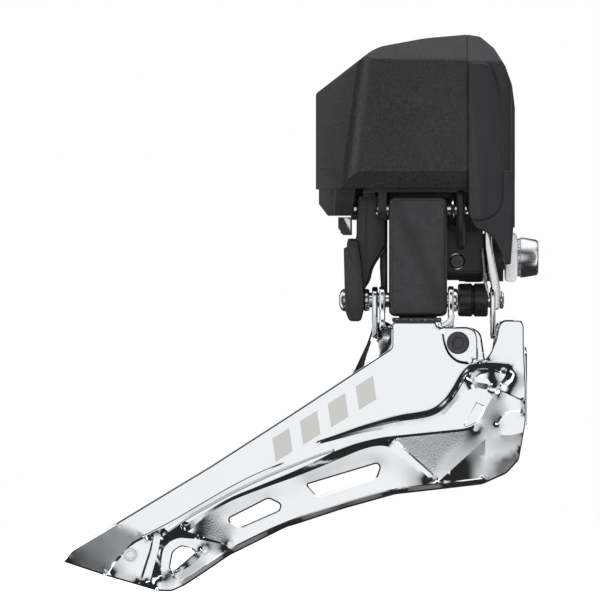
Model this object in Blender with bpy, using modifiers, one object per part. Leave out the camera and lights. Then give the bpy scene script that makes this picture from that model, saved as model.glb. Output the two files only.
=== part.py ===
"""Motor-driven road-bike front derailleur, modelled in millimetres and built in metres.

Frame: the origin is on the mounting bolt's axis at the bracket's seat for the frame tab. +X points
forward along the bike, +Y inboard towards the seat tube, and +Z up. The cage is at its inboard stop.
"""

import math

import bmesh
import bpy
from mathutils import Matrix, Vector

MM = 0.001
ROUND = 28  # sides of an ordinary round piece
ARC_STEP = math.radians(18)

# ---- driving dimensions, in millimetres and degrees -------------------------------------------
LINK_LENGTH = 18.8
LINK_REST_ANGLE = 12.0  # from the vertical, outboard
LOWER_Z = -8.6  # both lower pivots
INNER_PIVOT_Y = -7.6
PIVOT_SPACING = 9.0  # from the inner to the outer pivots, along Y
PIN_RADIUS = 1.5
PIN_CLEARANCE = 0.1  # radial, in every bore that a pin turns in
FACE_GAP = 0.3  # between pieces that lie face to face

SEAM_X = -7.6  # the parting line between motor cover and bracket
HOUSING_REAR_X = -37.9
HOUSING_FRONT_X = 2.1
HOUSING_OUT_Y = -24.0
HOUSING_IN_Y = 8.0
HOUSING_TOP_Z = 44.8
HOUSING_LIFT = 4.0  # the housing's lower edge above the upper pivots
FLOOR_LIFT = 2.4  # the motor space's floor above that edge
WALL = 1.3
DECK_THICKNESS = 1.5

BOLT_RADIUS = 2.5
BOSS_RADIUS = 5.0
SUPPORT_SCREW_X = -9.4
SUPPORT_SCREW_Z = -0.8

PLATE_THICKNESS = 1.2
PANEL_RISE = 0.8  # how far the outer plate's upper panel stands proud
OUTER_PLATE_Y = -26.2  # outboard face of the upper panel
CAGE_GAP = 11.0  # between the two plates
CHAINRING_CLEAR_RADIUS = 110.0  # the outer plate's lower edge follows a 52-tooth ring

GEAR_MODULE = 0.5
GEAR_PRESSURE_ANGLE = math.radians(25)
GEAR_BACKLASH = 0.1
SECTOR_TEETH = 36
PINION_TEETH = 12
WHEEL_TEETH = 30
MOTOR_RADIUS = 6.5
MOTOR_AXIS_TILT = math.radians(-10)  # of the line from the reduction gear to the motor

# ---- places that follow from them --------------------------------------------------------------
OUTER_PIVOT_Y = INNER_PIVOT_Y - PIVOT_SPACING
REST = math.radians(LINK_REST_ANGLE)
PIVOT_Z = LOWER_Z + LINK_LENGTH * math.cos(REST)
LOWER_OUT = LINK_LENGTH * math.sin(REST)
HOUSING_BOTTOM_Z = PIVOT_Z + HOUSING_LIFT
FLOOR_Z = HOUSING_BOTTOM_Z + FLOOR_LIFT
INNER_LOWER_Y = INNER_PIVOT_Y - LOWER_OUT
OUTER_LOWER_Y = OUTER_PIVOT_Y - LOWER_OUT
BORE_RADIUS = PIN_RADIUS + PIN_CLEARANCE
BASE_LAYER_Y = OUTER_PLATE_Y + PANEL_RISE
OUTER_PLATE_BACK_Y = BASE_LAYER_Y + PLATE_THICKNESS
INNER_PLATE_Y = OUTER_PLATE_BACK_Y + CAGE_GAP
INNER_PLATE_BACK_Y = INNER_PLATE_Y + PLATE_THICKNESS

# ---- colours: base colour, roughness, metallic ---------------------------------------------------
FINISHES = {
    "moulded_black": ((0.035, 0.035, 0.038), 0.55, 0.0),
    "painted_black": ((0.02, 0.02, 0.022), 0.4, 0.0),
    "chrome": ((0.86, 0.87, 0.89), 0.12, 1.0),
    "steel": ((0.6, 0.6, 0.6), 0.3, 1.0),
    "aluminium": ((0.78, 0.78, 0.79), 0.32, 1.0),
    "black_steel": ((0.03, 0.03, 0.03), 0.35, 0.6),
    "brass": ((0.72, 0.55, 0.25), 0.35, 1.0),
    "rubber": ((0.02, 0.02, 0.02), 0.8, 0.0),
    "board_green": ((0.03, 0.2, 0.08), 0.5, 0.0),
    "resin": ((0.05, 0.05, 0.05), 0.5, 0.0),
}


# ---- modelling helpers ---------------------------------------------------------------------------
def clear_scene():
    for obj in list(bpy.data.objects):
        bpy.data.objects.remove(obj)


def new_collection(name):
    collection = bpy.data.collections.new(name)
    bpy.context.scene.collection.children.link(collection)
    return collection


def finish_material(name):
    material = bpy.data.materials.get(name)
    if material is None:
        colour, roughness, metallic = FINISHES[name]
        material = bpy.data.materials.new(name)
        material.use_nodes = True
        shader = material.node_tree.nodes["Principled BSDF"]
        shader.inputs["Base Color"].default_value = (*colour, 1)
        shader.inputs["Roughness"].default_value = roughness
        shader.inputs["Metallic"].default_value = metallic
    return material


def add_object(name, mesh, finish, parent=None):
    """Links a mesh as a part, or as a cutter where it has no finish."""
    obj = bpy.data.objects.new(name, mesh)
    (PARTS if finish else CUTTERS).objects.link(obj)
    obj.parent = parent
    if finish:
        mesh.materials.append(finish_material(finish))
    else:
        obj.hide_render = True
        obj.display_type = "WIRE"
    return obj


def arc_points(centre, radius, start, end):
    """Points along an arc, both ends included, with angles in radians."""
    steps = max(2, math.ceil(abs(end - start) / ARC_STEP))
    turns = [start + (end - start) * k / steps for k in range(steps + 1)]
    return [(centre[0] + radius * math.cos(a), centre[1] + radius * math.sin(a)) for a in turns]


def rounded(corners):
    """A closed outline from (u, v) or (u, v, radius) corners, each radius turned into an arc."""
    points = []
    for i, corner in enumerate(corners):
        here = Vector(corner[:2])
        radius = corner[2] if len(corner) > 2 else 0
        before = Vector(corners[i - 1][:2]) - here
        after = Vector(corners[(i + 1) % len(corners)][:2]) - here
        turn = before.angle(after)
        if not radius or turn > math.radians(175):
            points.append(tuple(here))
            continue
        reach = min(radius / math.tan(turn / 2), 0.49 * before.length, 0.49 * after.length)
        first, last = here + before.normalized() * reach, here + after.normalized() * reach
        steps = max(1, math.ceil((math.pi - turn) / ARC_STEP))
        middle = here + (before.normalized() + after.normalized()).normalized() * (reach / math.cos(turn / 2))
        start = math.atan2(*(first - middle).yx)
        sweep = math.atan2(*(last - middle).yx) - start
        sweep = (sweep + math.pi) % (2 * math.pi) - math.pi
        size = (first - middle).length
        angles = [start + sweep * k / steps for k in range(steps + 1)]
        points += [(middle.x + size * math.cos(a), middle.y + size * math.sin(a)) for a in angles]
    return points


def inset(outline, distance):
    """A convex outline moved inwards by a distance."""
    moved = []
    count = len(outline)
    centre = sum((Vector(p) for p in outline), Vector((0, 0))) / count
    lines = []
    for i in range(count):
        a, b = Vector(outline[i]), Vector(outline[(i + 1) % count])
        normal = Vector((-(b - a).y, (b - a).x)).normalized()
        if normal.dot(centre - a) < 0:
            normal.negate()
        lines.append((a + normal * distance, b - a))
    for i in range(count):
        (p, d), (q, e) = lines[i - 1], lines[i]
        cross = d.x * e.y - d.y * e.x
        along = ((q - p).x * e.y - (q - p).y * e.x) / cross
        moved.append(tuple(p + d * along))
    return moved


TURN = {  # how a flat outline's own (u, v, depth) axes lie in the part
    "XZ": Matrix(((1, 0, 0), (0, 0, -1), (0, 1, 0))),
    "YZ": Matrix(((0, 0, 1), (1, 0, 0), (0, 1, 0))),
    "XY": Matrix.Identity(3),
}


def plate(name, outline, plane, low, high, finish=None, parent=None, holes=()):
    """A flat outline in XZ, YZ or XY, filled with its holes left open, from low to high along the third axis."""
    curve = bpy.data.curves.new(name, "CURVE")
    curve.dimensions = "2D"
    curve.fill_mode = "BOTH"
    curve.extrude = (high - low) / 2 * MM
    for points in (outline, *holes):
        spline = curve.splines.new("POLY")
        spline.points.add(len(points) - 1)
        for point, (u, v) in zip(spline.points, points):
            point.co = (u * MM, v * MM, 0, 1)
        spline.use_cyclic_u = True
    flat = bpy.data.objects.new(name + "_curve", curve)
    bpy.context.scene.collection.objects.link(flat)
    graph = bpy.context.evaluated_depsgraph_get()
    mesh = bpy.data.meshes.new_from_object(flat.evaluated_get(graph))
    bpy.data.objects.remove(flat)
    middle = (low + high) / 2 * MM
    shift = {"XZ": (0, middle, 0), "YZ": (middle, 0, 0), "XY": (0, 0, middle)}[plane]
    mesh.transform(Matrix.Translation(shift) @ TURN[plane].to_4x4())
    work = bmesh.new()
    work.from_mesh(mesh)
    bmesh.ops.remove_doubles(work, verts=work.verts, dist=1e-6)
    bmesh.ops.recalc_face_normals(work, faces=work.faces)
    work.to_mesh(mesh)
    work.free()
    mesh.name = name
    return add_object(name, mesh, finish, parent)


def turned(name, profile, at, along, finish=None, parent=None, sides=ROUND):
    """A turned piece: (distance along the axis, radius) pairs spun about the axis from a point."""
    work = bmesh.new()
    corners = [work.verts.new((radius * MM, 0, distance * MM)) for distance, radius in profile]
    for a, b in zip(corners, corners[1:]):
        work.edges.new((a, b))
    bmesh.ops.spin(
        work, geom=work.verts[:] + work.edges[:], angle=2 * math.pi, steps=sides,
        axis=(0, 0, 1), cent=(0, 0, 0), use_merge=True,
    )
    bmesh.ops.remove_doubles(work, verts=work.verts, dist=1e-6)
    bmesh.ops.recalc_face_normals(work, faces=work.faces)
    mesh = bpy.data.meshes.new(name)
    work.to_mesh(mesh)
    work.free()
    lie = Vector((0, 0, 1)).rotation_difference(Vector(along)).to_matrix().to_4x4()
    mesh.transform(Matrix.Translation(Vector(at) * MM) @ lie)
    obj = add_object(name, mesh, finish, parent)
    if finish:
        mesh.shade_smooth()
        mesh.set_sharp_from_angle(angle=math.radians(35))
    return obj


def rod(name, at, along, length, radius, finish=None, parent=None, bore=0, sides=ROUND):
    """A cylinder from a point along an axis, or a tube where it has a bore."""
    if bore:
        profile = [(0, bore), (0, radius), (length, radius), (length, bore), (0, bore)]
    else:
        profile = [(0, 0), (0, radius), (length, radius), (length, 0)]
    return turned(name, profile, at, along, finish, parent, sides)


def box(name, low, high, finish=None, parent=None):
    low, high = Vector(low) * MM, Vector(high) * MM
    mesh = bpy.data.meshes.new(name)
    work = bmesh.new()
    bmesh.ops.create_cube(work, size=1)
    work.to_mesh(mesh)
    work.free()
    mesh.transform(Matrix.Translation((low + high) / 2) @ Matrix.Diagonal((*(high - low), 1)))
    return add_object(name, mesh, finish, parent)


def combine(obj, other, operation):
    modifier = obj.modifiers.new(other.name, "BOOLEAN")
    modifier.operation = operation
    modifier.solver = "EXACT"
    modifier.object = other
    return obj


def cut(obj, *others):
    for other in others:
        combine(obj, other, "DIFFERENCE")
    return obj


def join(obj, *others):
    for other in others:
        combine(obj, other, "UNION")
    return obj


def weld(obj):
    """Merges the near-coincident corners that Booleans leave."""
    modifier = obj.modifiers.new("weld", "WELD")
    modifier.merge_threshold = 0.01 * MM
    return obj


def soften(obj, width, segments=2, angle=40):
    """Rounds an object's hard edges."""
    bevel = obj.modifiers.new("soften", "BEVEL")
    bevel.width = width * MM
    bevel.segments = segments
    bevel.limit_method = "ANGLE"
    bevel.angle_limit = math.radians(angle)
    bevel.use_clamp_overlap = True
    return obj


# ---- motor housing: cover and base bracket ---------------------------------------------------------
SIDE_OUTLINE = [  # the housing seen from outboard, as X and Z
    (HOUSING_REAR_X, HOUSING_BOTTOM_Z), (HOUSING_REAR_X, HOUSING_TOP_Z - 11.8),
    (-25.8, HOUSING_TOP_Z - 2.6), (-16.0, HOUSING_TOP_Z - 0.8), (SEAM_X, HOUSING_TOP_Z),
    (-4.9, HOUSING_TOP_Z - 0.4), (-2.1, HOUSING_TOP_Z - 2.8), (0.1, HOUSING_TOP_Z - 6.4),
    (1.5, HOUSING_TOP_Z - 10.2), (HOUSING_FRONT_X, HOUSING_TOP_Z - 14.8), (HOUSING_FRONT_X, HOUSING_BOTTOM_Z),
]
END_OUTLINE = [  # the housing seen along the bike, as Y and Z
    (HOUSING_OUT_Y + 1.4, HOUSING_BOTTOM_Z), (HOUSING_OUT_Y, HOUSING_BOTTOM_Z + 3.5),
    (HOUSING_OUT_Y + 0.6, HOUSING_TOP_Z - 5.6), (HOUSING_OUT_Y + 6.5, HOUSING_TOP_Z),
    (HOUSING_IN_Y - 9, HOUSING_TOP_Z), (HOUSING_IN_Y, HOUSING_TOP_Z - 7.8),
    (HOUSING_IN_Y, HOUSING_BOTTOM_Z),
]
PLAN_OUTLINE = [  # the housing seen from above, as X and Y
    (HOUSING_REAR_X, HOUSING_OUT_Y + 8.0), (HOUSING_REAR_X + 7.2, HOUSING_OUT_Y),
    (HOUSING_FRONT_X - 3.2, HOUSING_OUT_Y), (HOUSING_FRONT_X - 0.8, HOUSING_OUT_Y + 1.4),
    (HOUSING_FRONT_X, HOUSING_OUT_Y + 4.0), (HOUSING_FRONT_X, HOUSING_IN_Y - 3.0),
    (HOUSING_FRONT_X - 3.0, HOUSING_IN_Y), (HOUSING_REAR_X + 4.0, HOUSING_IN_Y),
    (HOUSING_REAR_X, HOUSING_IN_Y - 4.0),
]


def housing_block(name, depth, finish=None):
    """The housing's whole outer shape, moved inwards by a depth: three rounded outlines intersected."""
    reach = 60

    def outline(corners):
        return rounded([(u, v, 1.6) for u, v in inset(corners, depth)])

    block = plate(name, outline(SIDE_OUTLINE), "XZ", -reach, reach, finish)
    combine(block, plate(name + "_end", outline(END_OUTLINE), "YZ", -reach, reach), "INTERSECT")
    combine(block, plate(name + "_plan", outline(PLAN_OUTLINE), "XY", -reach, reach), "INTERSECT")
    return weld(block)


def motor_space(name):
    """The hollow for motor, board and gears, closed below by a floor."""
    hollow = housing_block(name, WALL)
    return cut(hollow, box(name + "_floor", (-80, -80, 0), (80, 80, FLOOR_Z)))


def make_motor_cover():
    cover = housing_block("motor_cover", 0, "moulded_black")
    cut(cover, box("cover_front_trim", (SEAM_X - FACE_GAP / 2, -80, -80), (80, 80, 80)))
    cut(cover, motor_space("cover_hollow"))
    deck_room = FLOOR_Z - WALL
    cut(cover, box("cover_underside", (HOUSING_REAR_X + WALL, HOUSING_OUT_Y + 2 * WALL, 0),
                   (80, HOUSING_IN_Y - WALL, deck_room)))
    chin = plate("cover_chin", CHIN_OUTLINE, "XZ", CHIN_Y[0], CHIN_Y[1])
    soften(chin, 0.6)
    join(cover, chin)
    return cover


CHIN_OUTLINE = rounded([  # the rear lower bump that carries the wire socket
    (-37.3, HOUSING_BOTTOM_Z + 2.2), (-37.3, HOUSING_BOTTOM_Z - 3.0), (-35.5, HOUSING_BOTTOM_Z - 5.4, 0.6),
    (-30.6, HOUSING_BOTTOM_Z - 5.4), (-30.6, HOUSING_BOTTOM_Z - 3.2), (-32.2, HOUSING_BOTTOM_Z + 1.6),
])
CHIN_Y = (-19.0, -4.5)


def lug_outline(pivot_y, radius, top, half_width=None):
    """A hanging lug: a round end about a pivot, with straight sides up to its root."""
    half = half_width or radius
    ends = arc_points((pivot_y, PIVOT_Z), radius, math.pi, 2 * math.pi)
    return ends + [(pivot_y + half, top), (pivot_y - half, top)]


DECK_TOP = FLOOR_Z - WALL - FACE_GAP
DECK_BOTTOM = DECK_TOP - DECK_THICKNESS
COLUMN_X = (-11.4, -4.2)
GEAR_CASE_X = -8.2
FRONT_LUG_X = (-9.6, -7.9)
SECTOR_X = (-7.0, -5.0)
WHEEL_X = (-4.5, -2.9)
REAR_LUG_X = (-22.9, -21.0)
OUTER_LUG_X = (-25.4, -23.7)
OUTER_LUG_RADIUS = 2.6


def gear_chamber():
    """Room for the toothed sector inside the column, open upwards into the housing."""
    y, z = INNER_PIVOT_Y, PIVOT_Z
    outline = [
        (y - 7.4, z + 12), (y - 7.4, z + 5.2), (y - 3.1, z - 0.5), (y - 2, z - 2.9),
        (y + 2, z - 2.9), (y + 3.1, z - 0.5), (y + 7.4, z + 5.2), (y + 7.4, z + 12),
    ]
    return plate("gear_chamber", outline, "YZ", SECTOR_X[0] - 0.3, SECTOR_X[1] + 0.3)


def bracket_column():
    """The column below the housing: gear case, support-screw block and the outer link's front lug."""
    side = [(-10.6, PIVOT_Z - 4.6, 0.5), (-10.6, -4.6, 2.0), (BOSS_RADIUS, -4.6, 2.0), (BOSS_RADIUS, 6.0, 1.0),
            (1.4, PIVOT_Z - 0.8, 1.0), (1.4, DECK_TOP + 0.25)]
    case = rounded([(-15.4, DECK_TOP + 0.25), (-15.4, PIVOT_Z + 2.6, 0.5), (-11.8, PIVOT_Z - 2.4, 1.0)] + side)
    block = rounded([(-11.4, DECK_TOP + 0.25), (-11.4, PIVOT_Z - 2.4, 1.0)] + side)
    column = plate("bracket_column", case, "YZ", GEAR_CASE_X, COLUMN_X[1])
    foot, lug_bottom = OUTER_LUG_RADIUS - 0.2, PIVOT_Z - 6.8
    lug = rounded([
        (OUTER_PIVOT_Y - foot, DECK_TOP - 0.3), (OUTER_PIVOT_Y - foot, lug_bottom, foot),
        (OUTER_PIVOT_Y + foot, lug_bottom, foot), (OUTER_PIVOT_Y + foot, DECK_TOP - 0.3),
    ])
    return [
        column,
        plate("support_block", block, "YZ", COLUMN_X[0], GEAR_CASE_X + 0.3),
        plate("front_pin_lug", lug, "YZ", *FRONT_LUG_X),
    ]


def make_base_bracket():
    """The aluminium bracket: front shell with its skirt and fang, deck, column, lugs and mounting boss."""
    skirt_bottom = 5.4
    bracket = housing_block("base_bracket", 0, "painted_black")
    cut(bracket, box("bracket_rear_trim", (-80, -80, -80), (SEAM_X + FACE_GAP / 2, 80, 80)))
    cut(bracket, motor_space("bracket_hollow"))
    cut(bracket, box("bracket_underside", (-20, HOUSING_OUT_Y + 2 * WALL, 0),
                     (HOUSING_FRONT_X - WALL, HOUSING_IN_Y + 1, DECK_TOP - 0.1)))
    skirt = plate("skirt", rounded([
        (SEAM_X + 0.4, HOUSING_BOTTOM_Z + 2), (SEAM_X + 0.4, 8.4, 1.5), (-5.6, 5.6, 1.5), (-3.8, 5.1, 1.0),
        (-2.1, 3.8, 1.0), (-0.6, 1.0), (0.2, -1.5, 0.3), (1.2, -1.4, 0.3), (1.7, skirt_bottom),
        (HOUSING_FRONT_X - 0.1, HOUSING_BOTTOM_Z + 2),
    ]), "XZ", HOUSING_OUT_Y + 0.9, HOUSING_OUT_Y + 2.4)
    wrap = box("skirt_wrap", (HOUSING_FRONT_X - WALL - 0.1, HOUSING_OUT_Y + 2, skirt_bottom + 0.6),
               (HOUSING_FRONT_X - 0.05, -9, HOUSING_BOTTOM_Z + 1.9))
    deck = box("deck", (OUTER_LUG_X[0] - 1.5, OUTER_PIVOT_Y - OUTER_LUG_RADIUS, DECK_BOTTOM),
               (HOUSING_FRONT_X - 3.2, HOUSING_IN_Y - 2.2, DECK_TOP + 0.1))
    shaft_lug = plate("shaft_lug", lug_outline(INNER_PIVOT_Y, 2.8, DECK_TOP - 0.2), "YZ", *REAR_LUG_X)
    pin_lug = plate("pin_lug", lug_outline(OUTER_PIVOT_Y, OUTER_LUG_RADIUS - 0.2, DECK_TOP - 0.2), "YZ",
                    *OUTER_LUG_X)
    boss = rod("mount_boss", (-9, 0, 0), (1, 0, 0), 9, BOSS_RADIUS - 0.15)
    floor = box("gear_floor", (SEAM_X + 0.5, HOUSING_OUT_Y + 1, DECK_TOP - 0.4),
                (HOUSING_FRONT_X - 0.6, HOUSING_IN_Y - 1, FLOOR_Z))
    wheel_tip = GEAR_MODULE * (WHEEL_TEETH / 2 + 1)
    sump_bottom = REDUCTION_Z - wheel_tip - 1.1
    sump = box("gear_sump", (WHEEL_X[0] - 1, INNER_PIVOT_Y - 5, sump_bottom),
               (WHEEL_X[1] + 0.9, INNER_PIVOT_Y + 5, FLOOR_Z - 0.3))
    join(bracket, floor, deck, *bracket_column(), skirt, wrap, shaft_lug, pin_lug, boss, sump)
    cut(
        bracket,
        gear_chamber(),
        rod("wheel_room", (WHEEL_X[0] - 0.3, INNER_PIVOT_Y, REDUCTION_Z), (1, 0, 0),
            WHEEL_X[1] - WHEEL_X[0] + 0.6, wheel_tip + 0.3),
        rod("shaft_bore", (-30, INNER_PIVOT_Y, PIVOT_Z), (1, 0, 0), 30, BORE_RADIUS + BUSH_WALL + 0.05),
        rod("outer_pin_bore", (-30, OUTER_PIVOT_Y, PIVOT_Z), (1, 0, 0), 23.4, BORE_RADIUS),
        rod("bolt_hole", (-7.1, 0, 0), (1, 0, 0), 20, BOLT_RADIUS + PIN_CLEARANCE),
        rod("support_hole", (SUPPORT_SCREW_X, -20, SUPPORT_SCREW_Z), (0, 1, 0), 40, BORE_RADIUS, sides=20),
        axle_seat(),
    )
    return weld(bracket)


# ---- gear train -----------------------------------------------------------------------------------
REDUCTION_Z = PIVOT_Z + GEAR_MODULE * (SECTOR_TEETH + PINION_TEETH) / 2
MOTOR_REACH = GEAR_MODULE * (WHEEL_TEETH + PINION_TEETH) / 2
MOTOR_Y = INNER_PIVOT_Y + MOTOR_REACH * math.sin(MOTOR_AXIS_TILT)
MOTOR_Z = REDUCTION_Z + MOTOR_REACH * math.cos(MOTOR_AXIS_TILT)
AXLE_RADIUS = 1.0
BUSH_WALL = 0.7


def axle_seat():
    return rod("axle_seat", (-1.0, INNER_PIVOT_Y, REDUCTION_Z), (1, 0, 0), 2.6, AXLE_RADIUS + PIN_CLEARANCE)


def involute(angle):
    return math.tan(angle) - angle


def tooth_flank(teeth, radius):
    """Half the angle that a tooth covers at a radius, from its involute."""
    pitch = GEAR_MODULE * teeth / 2
    base = pitch * math.cos(GEAR_PRESSURE_ANGLE)
    at_pitch = math.pi / (2 * teeth) - GEAR_BACKLASH / (4 * pitch)
    here = math.acos(min(1, base / max(radius, base)))
    return at_pitch + involute(GEAR_PRESSURE_ANGLE) - involute(here)


def gear_outline(centre, teeth, first, last, phase):
    """Outline points of teeth number first to last, tooth 0 pointing at the phase angle."""
    pitch = GEAR_MODULE * teeth / 2
    root, tip = pitch - 1.15 * GEAR_MODULE, pitch + 0.85 * GEAR_MODULE
    radii = [root, pitch - 0.5 * GEAR_MODULE, pitch, pitch + 0.45 * GEAR_MODULE, tip]
    points = []
    for k in range(first, last + 1):
        aim = phase + 2 * math.pi * k / teeth
        rise = [(aim - tooth_flank(teeth, r), r) for r in radii]
        fall = [(aim + tooth_flank(teeth, r), r) for r in reversed(radii)]
        points += [(centre[0] + r * math.cos(a), centre[1] + r * math.sin(a)) for a, r in rise + fall]
    return points


def make_gears():
    """Toothed sector on the output shaft, two-step reduction gear, and motor pinion, in mesh at rest."""
    up = math.pi / 2
    shaft_at = (INNER_PIVOT_Y, PIVOT_Z)
    gear_at = (INNER_PIVOT_Y, REDUCTION_Z)
    motor_at = (MOTOR_Y, MOTOR_Z)
    teeth = gear_outline(shaft_at, SECTOR_TEETH, -1, 4, up)
    hub = arc_points(shaft_at, 2.6, up + math.radians(60), up + math.radians(330))
    sector = plate("sector_gear", teeth + hub, "YZ", *SECTOR_X, "steel", holes=[
        arc_points(shaft_at, PIN_RADIUS + 0.02, 0, 2 * math.pi - ARC_STEP)])
    half_step = math.pi / PINION_TEETH
    pinion = gear_outline(gear_at, PINION_TEETH, 0, PINION_TEETH - 1, -up + half_step)
    turn = motor_phase(half_step)
    wheel = gear_outline(gear_at, WHEEL_TEETH, 0, WHEEL_TEETH - 1, turn)
    reduction = plate("reduction_gear", wheel, "YZ", *WHEEL_X, "brass")
    join(reduction, plate("reduction_pinion", pinion, "YZ", SECTOR_X[0], WHEEL_X[0] + 0.8))
    cut(reduction, rod("reduction_bore", (-12, *gear_at), (1, 0, 0), 14, AXLE_RADIUS + PIN_CLEARANCE,
                       sides=20))
    weld(reduction)
    toward = math.atan2(gear_at[1] - motor_at[1], gear_at[0] - motor_at[0])
    small = gear_outline(motor_at, PINION_TEETH, 0, PINION_TEETH - 1, toward + half_step)
    rotor = plate("motor_pinion", small, "YZ", WHEEL_X[0], WHEEL_X[1], "brass")
    join(rotor, rod("motor_spindle", (WHEEL_X[0] - 5.6, *motor_at), (1, 0, 0), 6.0, 0.8))
    return sector, reduction, rotor


def motor_phase(half_step):
    """The angle at which the wheel has a tooth on the line to the motor pinion's gap."""
    return math.atan2(MOTOR_Z - REDUCTION_Z, MOTOR_Y - INNER_PIVOT_Y) + 0 * half_step


def make_motor_group():
    """Motor can, its bulkhead, the reduction gear's axle, the circuit board and its sensor."""
    rear, front = HOUSING_REAR_X + 8.5, SEAM_X - 1.4
    spindle_room = 1.2
    turned("motor_can", [
        (0, spindle_room), (-0.8, 2.6), (-0.8, MOTOR_RADIUS - 1.6), (-2, MOTOR_RADIUS - 1.6),
        (-2, MOTOR_RADIUS), (rear - front + 1.5, MOTOR_RADIUS), (rear - front, MOTOR_RADIUS - 1.5),
        (rear - front, spindle_room), (0, spindle_room),
    ], (front, MOTOR_Y, MOTOR_Z), (1, 0, 0), "steel")
    hole = MOTOR_RADIUS - 1.3
    outline = rounded([
        (-19, FLOOR_Z + 3.2), (-19, MOTOR_Z + 6.4), (-15, MOTOR_Z + 8.9), (-1, MOTOR_Z + 8.9),
        (4.0, MOTOR_Z + 3.9), (4.0, FLOOR_Z + 3.2),
    ])
    plate("gear_bulkhead", outline, "YZ", front + 0.3, front + 1.2, "aluminium", holes=[
        arc_points((MOTOR_Y, MOTOR_Z), hole - 3.2, 0, 2 * math.pi - ARC_STEP),
    ])
    rod("reduction_axle", (front + 1.5, INNER_PIVOT_Y, REDUCTION_Z), (1, 0, 0), 0.7 - front - 1.5,
        AXLE_RADIUS, "steel", sides=20)
    board_y = 4.4
    low, high = FLOOR_Z + 2.4, FLOOR_Z + 17.3
    plate("circuit_board", rounded([(-33, low, 1), (-33, high, 1), (-12, high, 1), (-12, low, 1)]), "XZ",
          board_y, board_y + 1.0, "board_green")
    box("motor_driver_chip", (-25, board_y - 1.4, low + 5), (-19, board_y - FACE_GAP, low + 11), "resin")


def make_cover_gasket():
    """A thin seal ring in the seam between cover and bracket."""
    clear = WALL + 0.4
    top = HOUSING_TOP_Z - clear
    outline = [
        (HOUSING_OUT_Y + clear + 0.1, FLOOR_Z + 0.5), (HOUSING_OUT_Y + clear + 0.6, top - 4.3),
        (HOUSING_OUT_Y + 7.2, top), (HOUSING_IN_Y - 9.6, top), (HOUSING_IN_Y - clear, top - 6.9),
        (HOUSING_IN_Y - clear, FLOOR_Z + 0.5),
    ]
    return plate("housing_gasket", outline, "YZ", SEAM_X - 0.5, SEAM_X + 0.5, "rubber",
                 holes=[inset(outline, WALL / 2)])


# ---- inner link: output shaft, arms and long lower pin ------------------------------------------------
def link_frame(name, pivot_y):
    """An empty on an upper pivot axis, turned so that its own -Z runs down the link at rest."""
    frame = bpy.data.objects.new(name, None)
    PARTS.objects.link(frame)
    frame.location = (0, pivot_y * MM, PIVOT_Z * MM)
    frame.rotation_euler = (-REST, 0, 0)
    return frame


ARM_HALF_DEPTH = 2.5
HUB_RADIUS = 2.9
SHAFT_END_X = (-30.2, -2.2)
LONG_PIN_X = (-32.0, 0.0)


def make_inner_link(frame):
    """Everything that turns with the output shaft."""
    drop = -LINK_LENGTH
    arm = plate("drive_arm", rounded([
        (-29.6, -0.2), (-23.6, -0.2), (-23.7, -7.0, 2), (-25.0, drop + 7.6, 2), (-26.8, drop + 6.0, 2),
        (-28.3, drop + 2.4, 2), (-28.4, drop - 3.4, 0.8), (-31.2, drop - 3.4, 1.0), (-31.8, drop + 0.2, 2),
        (-32.2, -6.5, 0.2), (-29.6, -6.5),
    ]), "XZ", -ARM_HALF_DEPTH, ARM_HALF_DEPTH, "painted_black", frame)
    soften(arm, 0.5)
    join(arm, rod("arm_hub", (-29.55, 0, 0), (1, 0, 0), 5.9, HUB_RADIUS, parent=frame))
    cut(
        arm,
        rod("arm_shaft_bore", (-33, 0, 0), (1, 0, 0), 12, PIN_RADIUS + 0.05, parent=frame),
        rod("arm_pin_bore", (-35, 0, drop), (1, 0, 0), 12, PIN_RADIUS + 0.05, parent=frame),
    )
    pad_top = -6.5
    rod("arm_clamp_screw", (-30.6, 0, pad_top - 2.0), (0, 0, 1), 2.2, 0.9, "black_steel", frame, sides=16)
    cut(arm, rod("clamp_screw_hole", (-30.6, 0, pad_top - 2.3), (0, 0, 1), 3, 1.0, parent=frame, sides=16))
    weld(arm)
    strip = plate("front_link", rounded([
        (-3.9, 0.2), (-2.7, 0.2), (-2.7, drop + 10.4, 4), (-0.5, drop + 3.2, 4), (-0.5, drop),
        (-1.5, drop), (-1.5, drop + 3.4, 4), (-3.9, drop + 10.2, 4),
    ]), "XZ", -1.9, 1.9, "chrome", frame)
    soften(strip, 0.3, 1)
    for name, low, high, z in (("strip_top", -3.85, -2.75, 0), ("strip_foot", -1.45, -0.55, drop)):
        join(strip, rod(name, (low, 0, z), (1, 0, 0), high - low, 2.5, parent=frame, sides=24))
    cut(
        strip,
        rod("strip_shaft_bore", (-8, 0, 0), (1, 0, 0), 12, PIN_RADIUS + 0.05, parent=frame),
        rod("strip_pin_bore", (-8, 0, drop), (1, 0, 0), 12, PIN_RADIUS + 0.05, parent=frame),
    )
    shaft_length = SHAFT_END_X[1] - SHAFT_END_X[0]
    rod("output_shaft", (SHAFT_END_X[0], 0, 0), (1, 0, 0), shaft_length, PIN_RADIUS, "steel", frame)
    head = 0.9
    turned("inner_lower_pin", [
        (-head, 0), (-head, 1.6), (-head * 0.6, 2.2), (-0.1, 2.3), (-0.1, PIN_RADIUS),
        (LONG_PIN_X[1] - LONG_PIN_X[0], PIN_RADIUS), (LONG_PIN_X[1] - LONG_PIN_X[0], 0),
    ], (LONG_PIN_X[0], 0, drop), (1, 0, 0), "steel", frame)
    rod("inner_pin_clip", (-0.4, 0, drop), (1, 0, 0), 0.5, 2.3, "steel", frame, bore=PIN_RADIUS + 0.05)
    rod("spring_drum", (-5.8, 0, drop), (1, 0, 0), 2.7, 2.2, "resin", frame, bore=BORE_RADIUS)
    rod("rear_pin_washer", (-28.2, 0, drop), (1, 0, 0), 1.0, 2.1, "steel", frame, bore=BORE_RADIUS)
    make_saver_spring(frame, drop)
    return arm


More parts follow.
